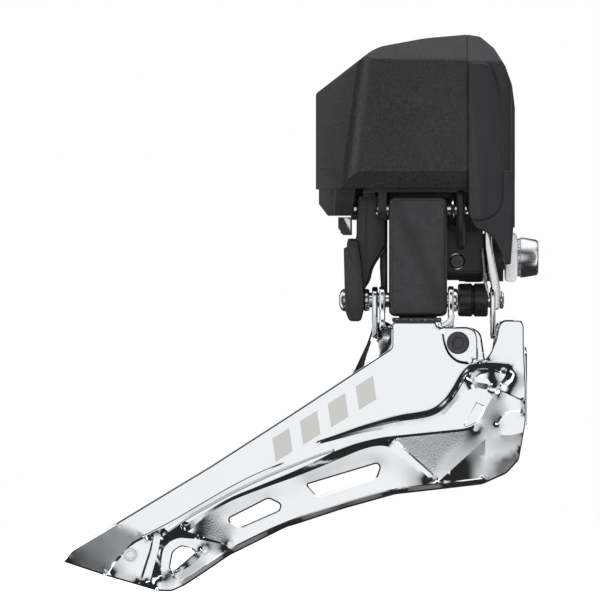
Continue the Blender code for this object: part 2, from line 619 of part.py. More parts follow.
def make_saver_spring(frame, drop):
    """The saver spring: turns about the lower pin's drum, and a straight leg up beside the front link."""
    wire, coil_radius, turns, steps = 0.4, 2.8, 2.0, 14
    start_x, pitch = -5.3, 0.95
    points = []
    for k in range(int(turns * steps) + 1):
        angle = math.pi + 2 * math.pi * k / steps
        x = start_x + pitch * k / steps
        points.append((x, coil_radius * math.cos(angle), drop + coil_radius * math.sin(angle)))
    x_end = points[-1][0]
    points += [(x_end - 0.4, -coil_radius, drop + 3), (x_end - 1.0, -coil_radius, drop + 10)]
    curve = bpy.data.curves.new("saver_spring", "CURVE")
    curve.dimensions = "3D"
    curve.bevel_depth = wire * MM
    curve.bevel_resolution = 1
    curve.use_fill_caps = True
    spline = curve.splines.new("POLY")
    spline.points.add(len(points) - 1)
    for point, (x, y, z) in zip(spline.points, points):
        point.co = (x * MM, y * MM, z * MM, 1)
    wound = bpy.data.objects.new("saver_spring_curve", curve)
    bpy.context.scene.collection.objects.link(wound)
    mesh = bpy.data.meshes.new_from_object(wound.evaluated_get(bpy.context.evaluated_depsgraph_get()))
    bpy.data.objects.remove(wound)
    work = bmesh.new()
    work.from_mesh(mesh)
    bmesh.ops.remove_doubles(work, verts=work.verts, dist=1e-6)
    bmesh.ops.recalc_face_normals(work, faces=work.faces)
    work.to_mesh(mesh)
    work.free()
    return add_object("saver_spring", mesh, "steel", frame)


def make_shaft_supports():
    """Bushes pressed into the bracket around the output shaft, and the seal where it leaves the column."""
    for name, low, high in (
        ("shaft_bush_rear", REAR_LUG_X[0], REAR_LUG_X[1]),
        ("shaft_bush_middle", COLUMN_X[0] + 1.0, SECTOR_X[0] - 0.4),
    ):
        rod(name, (low, INNER_PIVOT_Y, PIVOT_Z), (1, 0, 0), high - low, BORE_RADIUS + BUSH_WALL, "brass",
            bore=BORE_RADIUS)
    rod("shaft_seal", (COLUMN_X[0] - 0.1, INNER_PIVOT_Y, PIVOT_Z), (1, 0, 0), 0.9, BORE_RADIUS + BUSH_WALL,
        "rubber", bore=BORE_RADIUS)


# ---- outer link ---------------------------------------------------------------------------------------
OUTER_LINK_X = (-23.2, -11.7)


def make_outer_link(frame):
    """The wide black link on the outboard side, with its lower pin and clip."""
    drop = -LINK_LENGTH
    top, bottom = 2.1, 2.9
    outline = (
        arc_points((0, 0), top, 0, math.pi)
        + [(-2.6, -3.0), (-2.9, drop + 2)]
        + arc_points((0, drop), bottom, math.pi, 2 * math.pi)
        + [(1.3, drop + 5), (1.3, -4)]
    )
    link = plate("outer_link", outline, "YZ", *OUTER_LINK_X, "painted_black", frame)
    soften(link, 0.5, 2, 60)
    cut(
        link,
        rod("link_upper_bore", (-26, 0, 0), (1, 0, 0), 20, BORE_RADIUS, parent=frame),
        rod("link_lower_bore", (-26, 0, drop), (1, 0, 0), 20, PIN_RADIUS + 0.05, parent=frame),
    )
    turned("outer_lower_pin", [
        (0, 0), (0, 2.2), (0.7, 2.2), (0.7, PIN_RADIUS), (15.2, PIN_RADIUS), (15.2, 0),
    ], (-9.4, 0, drop), (-1, 0, 0), "steel", frame)
    return link


def make_outer_pivot_pin():
    rod("outer_upper_pin", (OUTER_LUG_X[0] - 0.4, OUTER_PIVOT_Y, PIVOT_Z), (1, 0, 0),
        FRONT_LUG_X[1] + 0.6 - OUTER_LUG_X[0], PIN_RADIUS, "steel")


# ---- cage ---------------------------------------------------------------------------------------------
TAIL_SCREW = (-75.2, -59.7)
BRIDGE_SCREW = (-9.4, -17.2)
EAR_RADIUS = 2.9
SLOT_FRONT = [(-39.6, -45.6), (-25.6, -41.4), (-25.1, -42.1), (-25.8, -44.2), (-37.6, -48.0), (-39.4, -46.0)]
SLOT_REAR = [(-55.3, -52.4), (-47.4, -48.4), (-45.0, -49.6), (-45.3, -50.8), (-53.0, -54.2), (-55.1, -53.2)]
SLOT_TAIL = [(-66.6, -59.2), (-64.9, -58.0), (-62.6, -58.7), (-62.1, -59.3), (-66.2, -62.8), (-67.2, -62.5)]


def ring_edge(start, end, steps=10):
    """The lower edge between two points: an arc at the chainring's clearance radius, bulging upwards."""
    a, b = Vector(start), Vector(end)
    half = (b - a).length / 2
    away = Vector(((b - a).y, -(b - a).x)).normalized()
    if away.y > 0:
        away.negate()
    centre = (a + b) / 2 + away * math.sqrt(CHAINRING_CLEAR_RADIUS**2 - half**2)
    first = math.atan2(*(a - centre).yx)
    last = math.atan2(*(b - centre).yx)
    angles = [first + (last - first) * k / steps for k in range(steps + 1)]
    return [tuple(centre + Vector((math.cos(t), math.sin(t))) * CHAINRING_CLEAR_RADIUS) for t in angles]


TOP_EDGE = [(-88.8, -61.1), (-87.2, -58.8), (-77.4, -53.0), (-58.9, -41.8), (-42.3, -31.1), (-22.7, -18.2)]
NOSE_EDGE = rounded([
    (3.9, -12.7, 0.5), (3.9, -17.5), (4.3, -25.8), (4.3, -33), (3.0, -40.5, 6), (-4.5, -45.6, 9),
    (-13.0, -46.6),
])[:-1]
HEEL_EDGE = [(-59.8, -63.0), (-64.2, -65.9), (-66.9, -67.1), (-69.6, -67.0), (-80.3, -63.9)]
NOTCH_BOTTOM = -20.6


def plate_outline(notch_left, lift=0.0):
    """The cage's side outline. The notch beside the horn starts at notch_left."""
    notch = rounded([
        (notch_left, -13.0), (notch_left, NOTCH_BOTTOM, 3.0), (-0.6, NOTCH_BOTTOM, 4.0), (0.4, -12.7),
    ])
    lower = ring_edge((-13.0, -46.6 + lift), (-55.3, -59.9 + lift))
    heel = [(x, z + lift) for x, z in HEEL_EDGE]
    return TOP_EDGE + [(-22.7, -13.0)] + notch + NOSE_EDGE + lower + heel


PANEL_LOWER_EDGE = [  # where the proud upper panel steps down, from the nose notch to the tip
    (-7.2, -23.4), (-9.4, -27.5), (-12.6, -31.8), (-17.0, -33.8), (-26.0, -35.4), (-38.0, -38.6),
    (-52.0, -45.4), (-62.0, -51.0), (-71.5, -55.4), (-74.6, -57.0), (-80.1, -62.0), (-80.5, -63.7),
]


def ear(name, x_low, x_high, pin_y, plate_y, root_z, frame_gap=0.0):
    """A tab folded square to the plate: a round end about the lower pin, with a root on the plate."""
    round_end = arc_points((pin_y, LOWER_Z), EAR_RADIUS, 0, math.pi)
    if plate_y < pin_y:
        round_end = round_end[:-3] + [(plate_y, LOWER_Z - 1.2)]
        outline = round_end + [(plate_y, root_z), (plate_y + 2.6, root_z), (pin_y + 1.6, LOWER_Z - EAR_RADIUS)]
    else:
        outline = round_end + [(plate_y - 1.0, root_z), (plate_y, root_z)]
    tab = plate(name, outline, "YZ", x_low, x_high)
    return tab, rod(name + "_bore", (x_low - 1, pin_y, LOWER_Z), (1, 0, 0), x_high - x_low + 2, BORE_RADIUS)


def make_outer_plate():
    base = plate("outer_plate", plate_outline(-5.5), "XZ", BASE_LAYER_Y, OUTER_PLATE_BACK_Y, "chrome",
                 holes=[SLOT_FRONT, SLOT_REAR, SLOT_TAIL])
    panel = plate(
        "upper_panel",
        TOP_EDGE + [(-22.7, -13.0)]
        + rounded([(-12.5, -13.0), (-12.5, NOTCH_BOTTOM - 0.2, 3.0), (-0.4, NOTCH_BOTTOM - 0.2, 4.0),
                   (0.6, -12.7)])
        + [(3.8, -12.7), (3.8, -17.5), (1.2, -22.8)] + PANEL_LOWER_EDGE,
        "XZ", OUTER_PLATE_Y, BASE_LAYER_Y + 0.3,
    )
    join(base, panel)
    for name, low, high, root_z in (("outer_ear_rear", -25.1, -24.0, -19.0), ("outer_ear_front", -11.3, -10.3, -14.4)):
        tab, bore = ear(name, low, high, OUTER_LOWER_Y, BASE_LAYER_Y + 0.1, root_z)
        join(base, tab)
        cut(base, bore)
    join(base, box("rear_ear_root", (-24.8, BASE_LAYER_Y - 0.4, -18.6), (-22.0, BASE_LAYER_Y + 0.8, -15.2)))
    cut(
        base,
        rod("bridge_screw_hole", (BRIDGE_SCREW[0], -40, BRIDGE_SCREW[1]), (0, 1, 0), 30, BORE_RADIUS),
        rod("tail_screw_hole", (TAIL_SCREW[0], -40, TAIL_SCREW[1]), (0, 1, 0), 30, 0.9 + PIN_CLEARANCE),
    )
    return weld(base)


def grown(slot, by):
    """A slot outline scaled about its middle so that it clears another slot by a margin."""
    middle = sum((Vector(p) for p in slot), Vector((0, 0))) / len(slot)
    return [tuple(Vector(p) + (Vector(p) - middle).normalized() * by) for p in slot]


def make_inner_plate():
    """The inboard plate, with two ears on the long pin and the folded nose that closes the cage's front."""
    top = [
        (-86.0, -60.6), (-77.0, -54.0), (-58.6, -43.0), (-42.0, -32.3), (-31.0, -24.6), (-28.4, -19.0),
        (-28.4, -13.6), (-27.5, -13.6), (-27.5, -17.6), (-24.6, -17.6), (-24.6, -14.0), (-5.7, -14.0),
        (-5.7, -21.0), (-3.2, -21.0), (-2.8, -14.0), (0.2, -14.0), (0.6, -17.8), (4.3, -17.8), (4.5, -25.8),
        (4.5, -33.0), (3.0, -40.0), (-4.5, -44.6), (-13.0, -45.6),
    ]
    lower = ring_edge((-13.0, -45.6), (-55.3, -58.9))[1:]
    heel = [(x, z + 1.0) for x, z in HEEL_EDGE]
    base = plate("inner_plate", top + lower + heel, "XZ", INNER_PLATE_Y, INNER_PLATE_BACK_Y, "chrome",
                 holes=[grown(slot, 0.5) for slot in (SLOT_FRONT, SLOT_REAR, SLOT_TAIL)])
    for name, low, high in (("inner_ear_rear", -26.5, -25.4), ("inner_ear_front", -2.8, -1.8)):
        tab, bore = ear(name, low, high, INNER_LOWER_Y, INNER_PLATE_Y, -17.5)
        join(base, tab)
        cut(base, bore)
    join(
        base,
        box("rear_ear_foot", (-26.5, INNER_PLATE_Y, -18.6), (-24.0, INNER_PLATE_BACK_Y + 0.3, -16.2)),
        box("nose_fold", (3.3, OUTER_PLATE_BACK_Y + FACE_GAP, -34.0), (4.5, INNER_PLATE_BACK_Y - 0.2, -17.8)),
    )
    cut(
        base,
        rod("inner_bridge_hole", (BRIDGE_SCREW[0], -30, BRIDGE_SCREW[1]), (0, 1, 0), 30, BORE_RADIUS),
        rod("inner_tail_hole", (TAIL_SCREW[0], -30, TAIL_SCREW[1]), (0, 1, 0), 30, 0.9 + PIN_CLEARANCE),
    )
    return weld(base)


def make_cage_fasteners():
    """The two screws that hold the plates apart on their sleeves, and the resin skid plate."""
    for name, (x, z), head, shank, sleeve in (
        ("bridge", BRIDGE_SCREW, 2.4, PIN_RADIUS, 2.3),
        ("tail", TAIL_SCREW, 1.35, 0.9, 1.8),
    ):
        head_y = BASE_LAYER_Y - 1.3
        shank_end = INNER_PLATE_BACK_Y + 0.9 - head_y
        turned(name + "_screw", [
            (1.0, 0), (1.0, head * 0.5), (0.0, head * 0.5), (0.0, head - 0.25), (0.25, head), (1.2, head),
            (1.2, shank), (shank_end, shank), (shank_end, 0),
        ], (x, head_y, z), (0, 1, 0), "black_steel" if name == "bridge" else "steel")
        rod(name + "_spacer", (x, OUTER_PLATE_BACK_Y + 0.1, z), (0, 1, 0), CAGE_GAP - 0.2, sleeve, "steel",
            bore=shank + PIN_CLEARANCE)
    plate("skid_plate", rounded([
        (-22.0, -22.5, 2), (-4.0, -24.0, 2), (0.5, -34.0, 3), (-4.0, -39.5, 3), (-24.0, -38.5, 3),
    ]), "XZ", INNER_PLATE_Y - FACE_GAP - 0.8, INNER_PLATE_Y - FACE_GAP, "resin")


# ---- frame-side fasteners and the wire socket ---------------------------------------------------------
def make_frame_fasteners():
    """Mounting bolt with its radius washer, and the support screw that bears on the seat tube."""
    head_start, head_end = 3.0, 7.1
    turned("mounting_bolt", [
        (head_end, 1.9), (head_end - 2.4, 1.9), (head_end - 2.4, 0),
    ][::-1] + [
        (head_end, 3.5), (head_end - 0.4, 3.85), (head_start, 4.05), (head_start, BOLT_RADIUS),
        (-6.8, BOLT_RADIUS), (-6.8, 0),
    ], (0, 0, 0), (1, 0, 0), "aluminium")
    turned("radius_washer", [
        (0.3, BOLT_RADIUS + 0.1), (0.3, 4.2), (1.0, 4.9), (2.3, 5.0), (2.8, 4.5), (2.8, BOLT_RADIUS + 0.1),
        (0.3, BOLT_RADIUS + 0.1),
    ], (0, 0, 0), (1, 0, 0), "aluminium")
    start_y = -10.2
    tip = BOSS_RADIUS + 1.4 - start_y
    turned("support_screw", [
        (1.6, 0), (1.6, 0.8), (0, 0.8), (0, 1.2), (0.3, PIN_RADIUS), (tip, PIN_RADIUS), (tip, 0),
    ], (SUPPORT_SCREW_X, start_y, SUPPORT_SCREW_Z), (0, 1, 0), "black_steel", sides=20)


def make_wire_socket():
    """The socket for the control wire under the rear bump, closed by its plug."""
    high_z = HOUSING_BOTTOM_Z - 5.7
    low_z = high_z - 3.6
    socket = plate("wire_socket", rounded([
        (-33.4, high_z), (-33.4, low_z + 1.5, 0.4), (-32.4, low_z, 0.3), (-30.6, low_z), (-30.6, high_z),
    ]), "XZ", -9.6, -5.6, "resin")
    cut(socket, rod("socket_bore", (-31.9, INNER_PIVOT_Y, low_z - 1), (0, 0, 1), 3.9, 1.1))
    rod("socket_plug", (-31.9, INNER_PIVOT_Y, low_z + 0.3), (0, 0, 1), 2.4, 1.0, "rubber", sides=20)
    return socket


def main():
    inner_frame = link_frame("inner_link_axis", INNER_PIVOT_Y)
    outer_frame = link_frame("outer_link_axis", OUTER_PIVOT_Y)
    make_base_bracket()
    make_motor_cover()
    make_cover_gasket()
    make_gears()
    make_motor_group()
    make_shaft_supports()
    make_inner_link(inner_frame)
    make_outer_link(outer_frame)
    make_outer_pivot_pin()
    make_outer_plate()
    make_inner_plate()
    make_cage_fasteners()
    make_frame_fasteners()
    make_wire_socket()


clear_scene()
PARTS = new_collection("front_derailleur")
CUTTERS = new_collection("cutters")
main()
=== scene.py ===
import math

import bmesh
import bpy
import numpy as np
from mathutils import Matrix, Vector
from mathutils.geometry import delaunay_2d_cdt


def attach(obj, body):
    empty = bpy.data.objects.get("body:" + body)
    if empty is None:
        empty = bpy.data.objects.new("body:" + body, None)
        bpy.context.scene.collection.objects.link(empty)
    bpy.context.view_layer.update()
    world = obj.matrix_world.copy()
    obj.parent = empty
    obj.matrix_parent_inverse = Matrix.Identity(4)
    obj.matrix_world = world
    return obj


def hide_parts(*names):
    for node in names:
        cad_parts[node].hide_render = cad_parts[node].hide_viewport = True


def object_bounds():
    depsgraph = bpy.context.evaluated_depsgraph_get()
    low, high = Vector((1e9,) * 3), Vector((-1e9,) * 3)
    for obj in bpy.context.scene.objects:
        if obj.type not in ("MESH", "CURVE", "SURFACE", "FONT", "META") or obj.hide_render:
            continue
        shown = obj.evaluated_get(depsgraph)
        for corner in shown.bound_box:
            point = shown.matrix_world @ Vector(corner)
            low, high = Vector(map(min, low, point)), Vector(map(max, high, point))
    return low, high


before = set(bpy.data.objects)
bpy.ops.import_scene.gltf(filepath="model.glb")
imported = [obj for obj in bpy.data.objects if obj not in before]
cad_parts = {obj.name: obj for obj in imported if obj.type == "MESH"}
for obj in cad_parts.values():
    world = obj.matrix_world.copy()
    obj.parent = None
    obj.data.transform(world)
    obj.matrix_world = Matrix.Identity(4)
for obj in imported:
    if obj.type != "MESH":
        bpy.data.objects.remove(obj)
cadLow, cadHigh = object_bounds()
print("frame loaded:", len(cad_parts), "nodes")

# camera, lights and floor
studio = {
    "focus": (-0.0411, -0.022, -0.0086),    # what the camera looks at, metres
    "distance": 3.0,
    "frameWidth": 0.1205,                   # width seen at that distance
    "lens": 900,
    "floorGap": 0.0006,
    "frontGlow": 1.0,
    "topGlow": 1.3,
    "sideGlow": 3.6,
    "rimGlow": 1.3,
    "fill": 9.0,
    "roomTone": 0.022,
}


def addToScene(item):
    bpy.context.scene.collection.objects.link(item)


def makeCamera():
    data = bpy.data.cameras.new("studioCamera")
    data.lens = studio["lens"]
    data.sensor_width = data.lens * studio["frameWidth"] / studio["distance"]
    data.clip_end = 50
    camera = bpy.data.objects.new("studioCamera", data)
    x, y, z = studio["focus"]
    camera.location = (x, y - studio["distance"], z)
    camera.rotation_euler = (math.pi / 2, 0, 0)
    addToScene(camera)
    bpy.context.scene.camera = camera


def addNode(tree, kind, inputs=None, **settings):
    made = tree.nodes.new(kind)
    for key, value in settings.items():
        setattr(made, key, value)
    for key, value in (inputs or {}).items():
        if isinstance(value, bpy.types.NodeSocket):
            tree.links.new(value, made.inputs[key])
        else:
            made.inputs[key].default_value = value
    return made


def ramp(tree, value, low, high, outLow=0.0, outHigh=1.0):
    return addNode(tree, "ShaderNodeMapRange", {"Value": value, "From Min": low, "From Max": high,
                   "To Min": outLow, "To Max": outHigh}, interpolation_type="SMOOTHSTEP").outputs[0]


def maths(tree, operation, a, b=0.0):
    return addNode(tree, "ShaderNodeMath", {0: a, 1: b}, operation=operation).outputs[0]


def plus(tree, a, b):
    return maths(tree, "ADD", a, b)


def minus(tree, a, b):
    return maths(tree, "SUBTRACT", a, b)


def times(tree, a, b):
    return maths(tree, "MULTIPLY", a, b)


def strip(tree, x, y, z, azimuth, width, strength):
    # an upright strip of light, its azimuth measured from the camera's side
    turn = math.radians(azimuth)
    across = minus(tree, times(tree, x, math.cos(turn)), times(tree, y, -math.sin(turn)))
    ahead = minus(tree, times(tree, x, math.sin(turn)), times(tree, y, math.cos(turn)))
    band = ramp(tree, maths(tree, "ABSOLUTE", across), width * 0.55, width, strength, 0.0)
    low = ramp(tree, maths(tree, "ABSOLUTE", z), 0.55, 0.75, 1.0, 0.0)
    return times(tree, times(tree, band, low), maths(tree, "GREATER_THAN", ahead, 0.0))


def makeFillLight():
    # wide soft light beside the camera; it only lifts matt surfaces
    data = bpy.data.lights.new("fillLight", "AREA")
    data.shape, data.size, data.size_y, data.energy = "RECTANGLE", 1.2, 1.0, studio["fill"]
    lamp = bpy.data.objects.new("fillLight", data)
    lamp.location = (-0.25, -1.5, 0.55)
    lamp.rotation_euler = (Vector(studio["focus"]) - lamp.location).to_track_quat("-Z", "Y").to_euler()
    lamp.visible_glossy = False
    lamp.visible_camera = False
    addToScene(lamp)


def makeWorld():
    world = bpy.data.worlds.new("studioWorld")
    bpy.context.scene.world = world
    world.use_nodes = True
    tree = world.node_tree
    tree.nodes.clear()
    direction = addNode(tree, "ShaderNodeTexCoord").outputs["Generated"]
    x, y, z = addNode(tree, "ShaderNodeSeparateXYZ", {0: direction}).outputs
    forward = times(tree, y, -1.0)
    wide = ramp(tree, forward, 0.895, 0.97, 0.0,
                0.65)      # soft box behind the camera, brightest in the middle
    middle = ramp(tree, forward, 0.965, 0.998, 0.0, 0.35)
    front = times(tree, plus(tree, wide, middle), studio["frontGlow"])
    top = ramp(tree, z, 0.60, 0.88, 0.0, studio["topGlow"])
    left = strip(tree, x, y, z, -47, 0.15, studio["sideGlow"])
    right = strip(tree, x, y, z, 52, 0.10, studio["sideGlow"] * 0.7)
    rims = plus(tree, strip(tree, x, y, z, -125, 0.2, studio["rimGlow"]),
                strip(tree, x, y, z, 118, 0.2, studio["rimGlow"]))
    left = plus(tree, left, rims)
    total = plus(tree, plus(tree, front, top), plus(tree, left, right))
    total = plus(tree, total, studio["roomTone"])
    lit = addNode(tree, "ShaderNodeBackground", {"Color": (0.97, 0.985, 1, 1), "Strength": total})
    seen = addNode(tree, "ShaderNodeBackground", {"Color": (1, 1, 1, 1), "Strength": 1.0})
    cameraRay = addNode(tree, "ShaderNodeLightPath").outputs["Is Camera Ray"]
    mixed = addNode(tree, "ShaderNodeMixShader", {0: cameraRay, 1: lit.outputs[0], 2: seen.outputs[0]})
    addNode(tree, "ShaderNodeOutputWorld", {"Surface": mixed.outputs[0]})


def makeFloor():
    # pale table top just under the lowest edge; seen from below it lets the view through
    bm = bmesh.new()
    bmesh.ops.create_circle(bm, cap_ends=True, segments=96, radius=0.9,
                            matrix=Matrix.Translation((cadLow.x / 2, -0.01, cadLow.z - studio["floorGap"])))
    mesh = bpy.data.meshes.new("floor")
    bm.to_mesh(mesh)
    floor = bpy.data.objects.new("floor", mesh)
    addToScene(floor)
    material = bpy.data.materials.new("paleFloor")
    material.use_nodes = True
    tree = material.node_tree
    tree.nodes.clear()
    path = addNode(tree, "ShaderNodeLightPath")
    pale = addNode(tree, "ShaderNodeBsdfDiffuse", {"Color": (0.93, 0.94, 0.95, 1)})
    glow = addNode(tree, "ShaderNodeEmission", {"Color": (1, 1, 1, 1), "Strength": 0.85})
    both = addNode(tree, "ShaderNodeAddShader", {0: pale.outputs[0], 1: glow.outputs[0]})
    clear = addNode(tree, "ShaderNodeBsdfTransparent")
    other = addNode(tree, "ShaderNodeMixShader",       # polished parts don't mirror the table
                    {0: path.outputs["Is Glossy Ray"], 1: both.outputs[0], 2: clear.outputs[0]})
    back = addNode(tree, "ShaderNodeNewGeometry").outputs["Backfacing"]
    final = addNode(tree, "ShaderNodeMixShader", {0: back, 1: other.outputs[0], 2: clear.outputs[0]})
    addNode(tree, "ShaderNodeOutputMaterial", {"Surface": final.outputs[0]})
    mesh.materials.append(material)


makeCamera()
makeWorld()
makeFillLight()
makeFloor()
bpy.context.scene.view_settings.view_transform = "Standard"
print("studio ready")

# node groups shared by the finishes


def newGroup(name, inputs, outputs):
    group = bpy.data.node_groups.new(name, "ShaderNodeTree")
    for label, kind, value in inputs:
        socket = group.interface.new_socket(label, in_out="INPUT", socket_type=kind)
        socket.default_value = value
    for label, kind in outputs:
        group.interface.new_socket(label, in_out="OUTPUT", socket_type=kind)
    return group, group.nodes.new("NodeGroupInput").outputs, group.nodes.new("NodeGroupOutput").inputs


def makeFineGrain():
    # moulded or cast grain: a height and a speckle mask
    tree, given, out = newGroup("fineGrain",
                                [("Size", "NodeSocketFloat", 2500.0), ("Contrast", "NodeSocketFloat", 0.5)],
                                [("Height", "NodeSocketFloat"), ("Speckle", "NodeSocketFloat")])
    place = addNode(tree, "ShaderNodeTexCoord").outputs["Object"]
    fine = addNode(tree, "ShaderNodeTexNoise",
                   {"Vector": place, "Scale": given["Size"], "Detail": 3.0, "Roughness": 0.6})
    cells = addNode(tree, "ShaderNodeTexVoronoi", {"Vector": place, "Scale": given["Size"]})
    height = plus(tree, fine.outputs[0], times(tree, cells.outputs["Distance"], 0.4))
    tree.links.new(height, out["Height"])
    speckle = ramp(tree, fine.outputs[0], 0.38, 0.66)
    tree.links.new(times(tree, speckle, given["Contrast"]), out["Speckle"])
    return tree


def makeHandling():
    # slow smudges and hairline rubs left by handling
    tree, given, out = newGroup("handling",
                                [("Amount", "NodeSocketFloat", 0.1), ("Size", "NodeSocketFloat", 120.0)],
                                [("Smudge", "NodeSocketFloat"), ("Rub", "NodeSocketFloat")])
    place = addNode(tree, "ShaderNodeTexCoord").outputs["Object"]
    slow = addNode(tree, "ShaderNodeTexNoise",
                   {"Vector": place, "Scale": given["Size"], "Detail": 4.0}).outputs[0]
    tree.links.new(times(tree, ramp(tree, slow, 0.35, 0.7), given["Amount"]), out["Smudge"])
    stretched = addNode(tree, "ShaderNodeMapping",
                        {"Vector": place, "Rotation": (0, 0.6, 0), "Scale": (60, 60, 2600)})
    lines = addNode(tree, "ShaderNodeTexNoise",
                    {"Vector": stretched.outputs[0], "Scale": 1.0, "Detail": 2.0}).outputs[0]
    tree.links.new(ramp(tree, lines, 0.45, 0.75), out["Rub"])
    return tree


def makeEdgeWear():
    # brighter, slightly polished corners
    tree, given, out = newGroup("edgeWear", [("Amount", "NodeSocketFloat", 0.5)],
                                [("Mask", "NodeSocketFloat")])
    point = addNode(tree, "ShaderNodeNewGeometry").outputs["Pointiness"]
    place = addNode(tree, "ShaderNodeTexCoord").outputs["Object"]
    patch = addNode(tree, "ShaderNodeTexNoise", {"Vector": place, "Scale": 700.0, "Detail": 3.0}).outputs[0]
    edge = ramp(tree, point, 0.52, 0.60)
    mask = times(tree, edge, ramp(tree, patch, 0.3, 0.6, 0.3, 1.0))
    tree.links.new(times(tree, mask, given["Amount"]), out["Mask"])
    return tree


def makeSatinBars():
    # a run of plain slanted bars along the cage, where polished plating is left satin
    tree, given, out = newGroup("satinBars",
                                [("Pitch", "NodeSocketFloat", 0.0066), ("Share", "NodeSocketFloat", 0.62)],
                                [("Mask", "NodeSocketFloat")])
    place = addNode(tree, "ShaderNodeTexCoord").outputs["Object"]
    x, _, z = addNode(tree, "ShaderNodeSeparateXYZ", {0: place}).outputs
    x, z = plus(tree, x, 0.0352), plus(tree, z, 0.0318)
    lean = math.radians(32)
    along = plus(tree, times(tree, x, math.cos(lean)), times(tree, z, math.sin(lean)))
    across = minus(tree, times(tree, z, math.cos(lean)), times(tree, x, math.sin(lean)))
    skew = minus(tree, along, times(tree, across, 0.45))
    inLength = maths(tree, "LESS_THAN", maths(tree, "ABSOLUTE", skew), 0.0131)
    inHeight = maths(tree, "LESS_THAN", maths(tree, "ABSOLUTE", across), 0.0022)
    phase = maths(tree, "FRACT", maths(tree, "DIVIDE", plus(tree, skew, 0.0132), given["Pitch"]))
    bars = maths(tree, "LESS_THAN", phase, given["Share"])
    tree.links.new(times(tree, times(tree, inLength, inHeight), bars), out["Mask"])
    return tree


fineGrain, handling, edgeWear, satinBars = makeFineGrain(), makeHandling(), makeEdgeWear(), makeSatinBars()


def useGroup(tree, group, **values):
    made = addNode(tree, "ShaderNodeGroup", node_tree=group)
    for key, value in values.items():
        made.inputs[key].default_value = value
    return made.outputs


def finish(name, color, metallic=0.0, roughness=0.4, grainSize=2500.0, bump=0.0,
           smudge=0.08, wear=0.3, spread=0.25, coat=0.0, brushed=0.0, patchAttribute=None, barred=False):
    material = bpy.data.materials.new(name)
    material.use_nodes = True
    tree = material.node_tree
    tree.nodes.clear()
    shader = addNode(tree, "ShaderNodeBsdfPrincipled", {"Metallic": metallic, "Specular IOR Level": 0.5,
                     "Coat Weight": coat, "Coat Roughness": 0.15})
    grainOut = useGroup(tree, fineGrain, Size=grainSize, Contrast=1.0)
    hands = useGroup(tree, handling, Amount=smudge)
    worn = useGroup(tree, edgeWear, Amount=wear)
    dark = tuple(c * (1 - spread) for c in color) + (1,)
    light = tuple(min(1, c * (1 + spread)) for c in color) + (1,)
    tone = addNode(tree, "ShaderNodeMix", {0: grainOut["Speckle"], 6: dark, 7: light}, data_type="RGBA")
    tip = tuple(min(1, c * 1.8 + 0.02) for c in color)
    toned = addNode(tree, "ShaderNodeMix", {0: worn["Mask"], 6: tone.outputs[2], 7: tip + (1,)},
                    data_type="RGBA")
    if barred:
        bars = useGroup(tree, satinBars)["Mask"]
        toned = addNode(tree, "ShaderNodeMix", {0: bars, 6: toned.outputs[2], 7: (0.62, 0.61, 0.575, 1)},
                        data_type="RGBA")
    tree.links.new(toned.outputs[2], shader.inputs["Base Color"])
    rough = plus(tree, hands["Smudge"], roughness)
    if brushed:
        rough = plus(tree, rough, times(tree, hands["Rub"], brushed))
    if barred:
        rough = plus(tree, rough, times(tree, bars, 0.06))
    height = grainOut["Height"]
    if patchAttribute:      # parts of a polished piece that keep the rough skin of the die
        patch = addNode(tree, "ShaderNodeAttribute", attribute_name=patchAttribute).outputs["Fac"]
        rough = plus(tree, rough, times(tree, patch, 0.22))
        height = times(tree, height, plus(tree, patch, 0.02))
    tree.links.new(rough, shader.inputs["Roughness"])
    if bump:
        bumped = addNode(tree, "ShaderNodeBump", {"Strength": bump, "Distance": 0.0001, "Height": height})
        tree.links.new(bumped.outputs[0], shader.inputs["Normal"])
    addNode(tree, "ShaderNodeOutputMaterial", {"Surface": shader.outputs[0]})
    return material


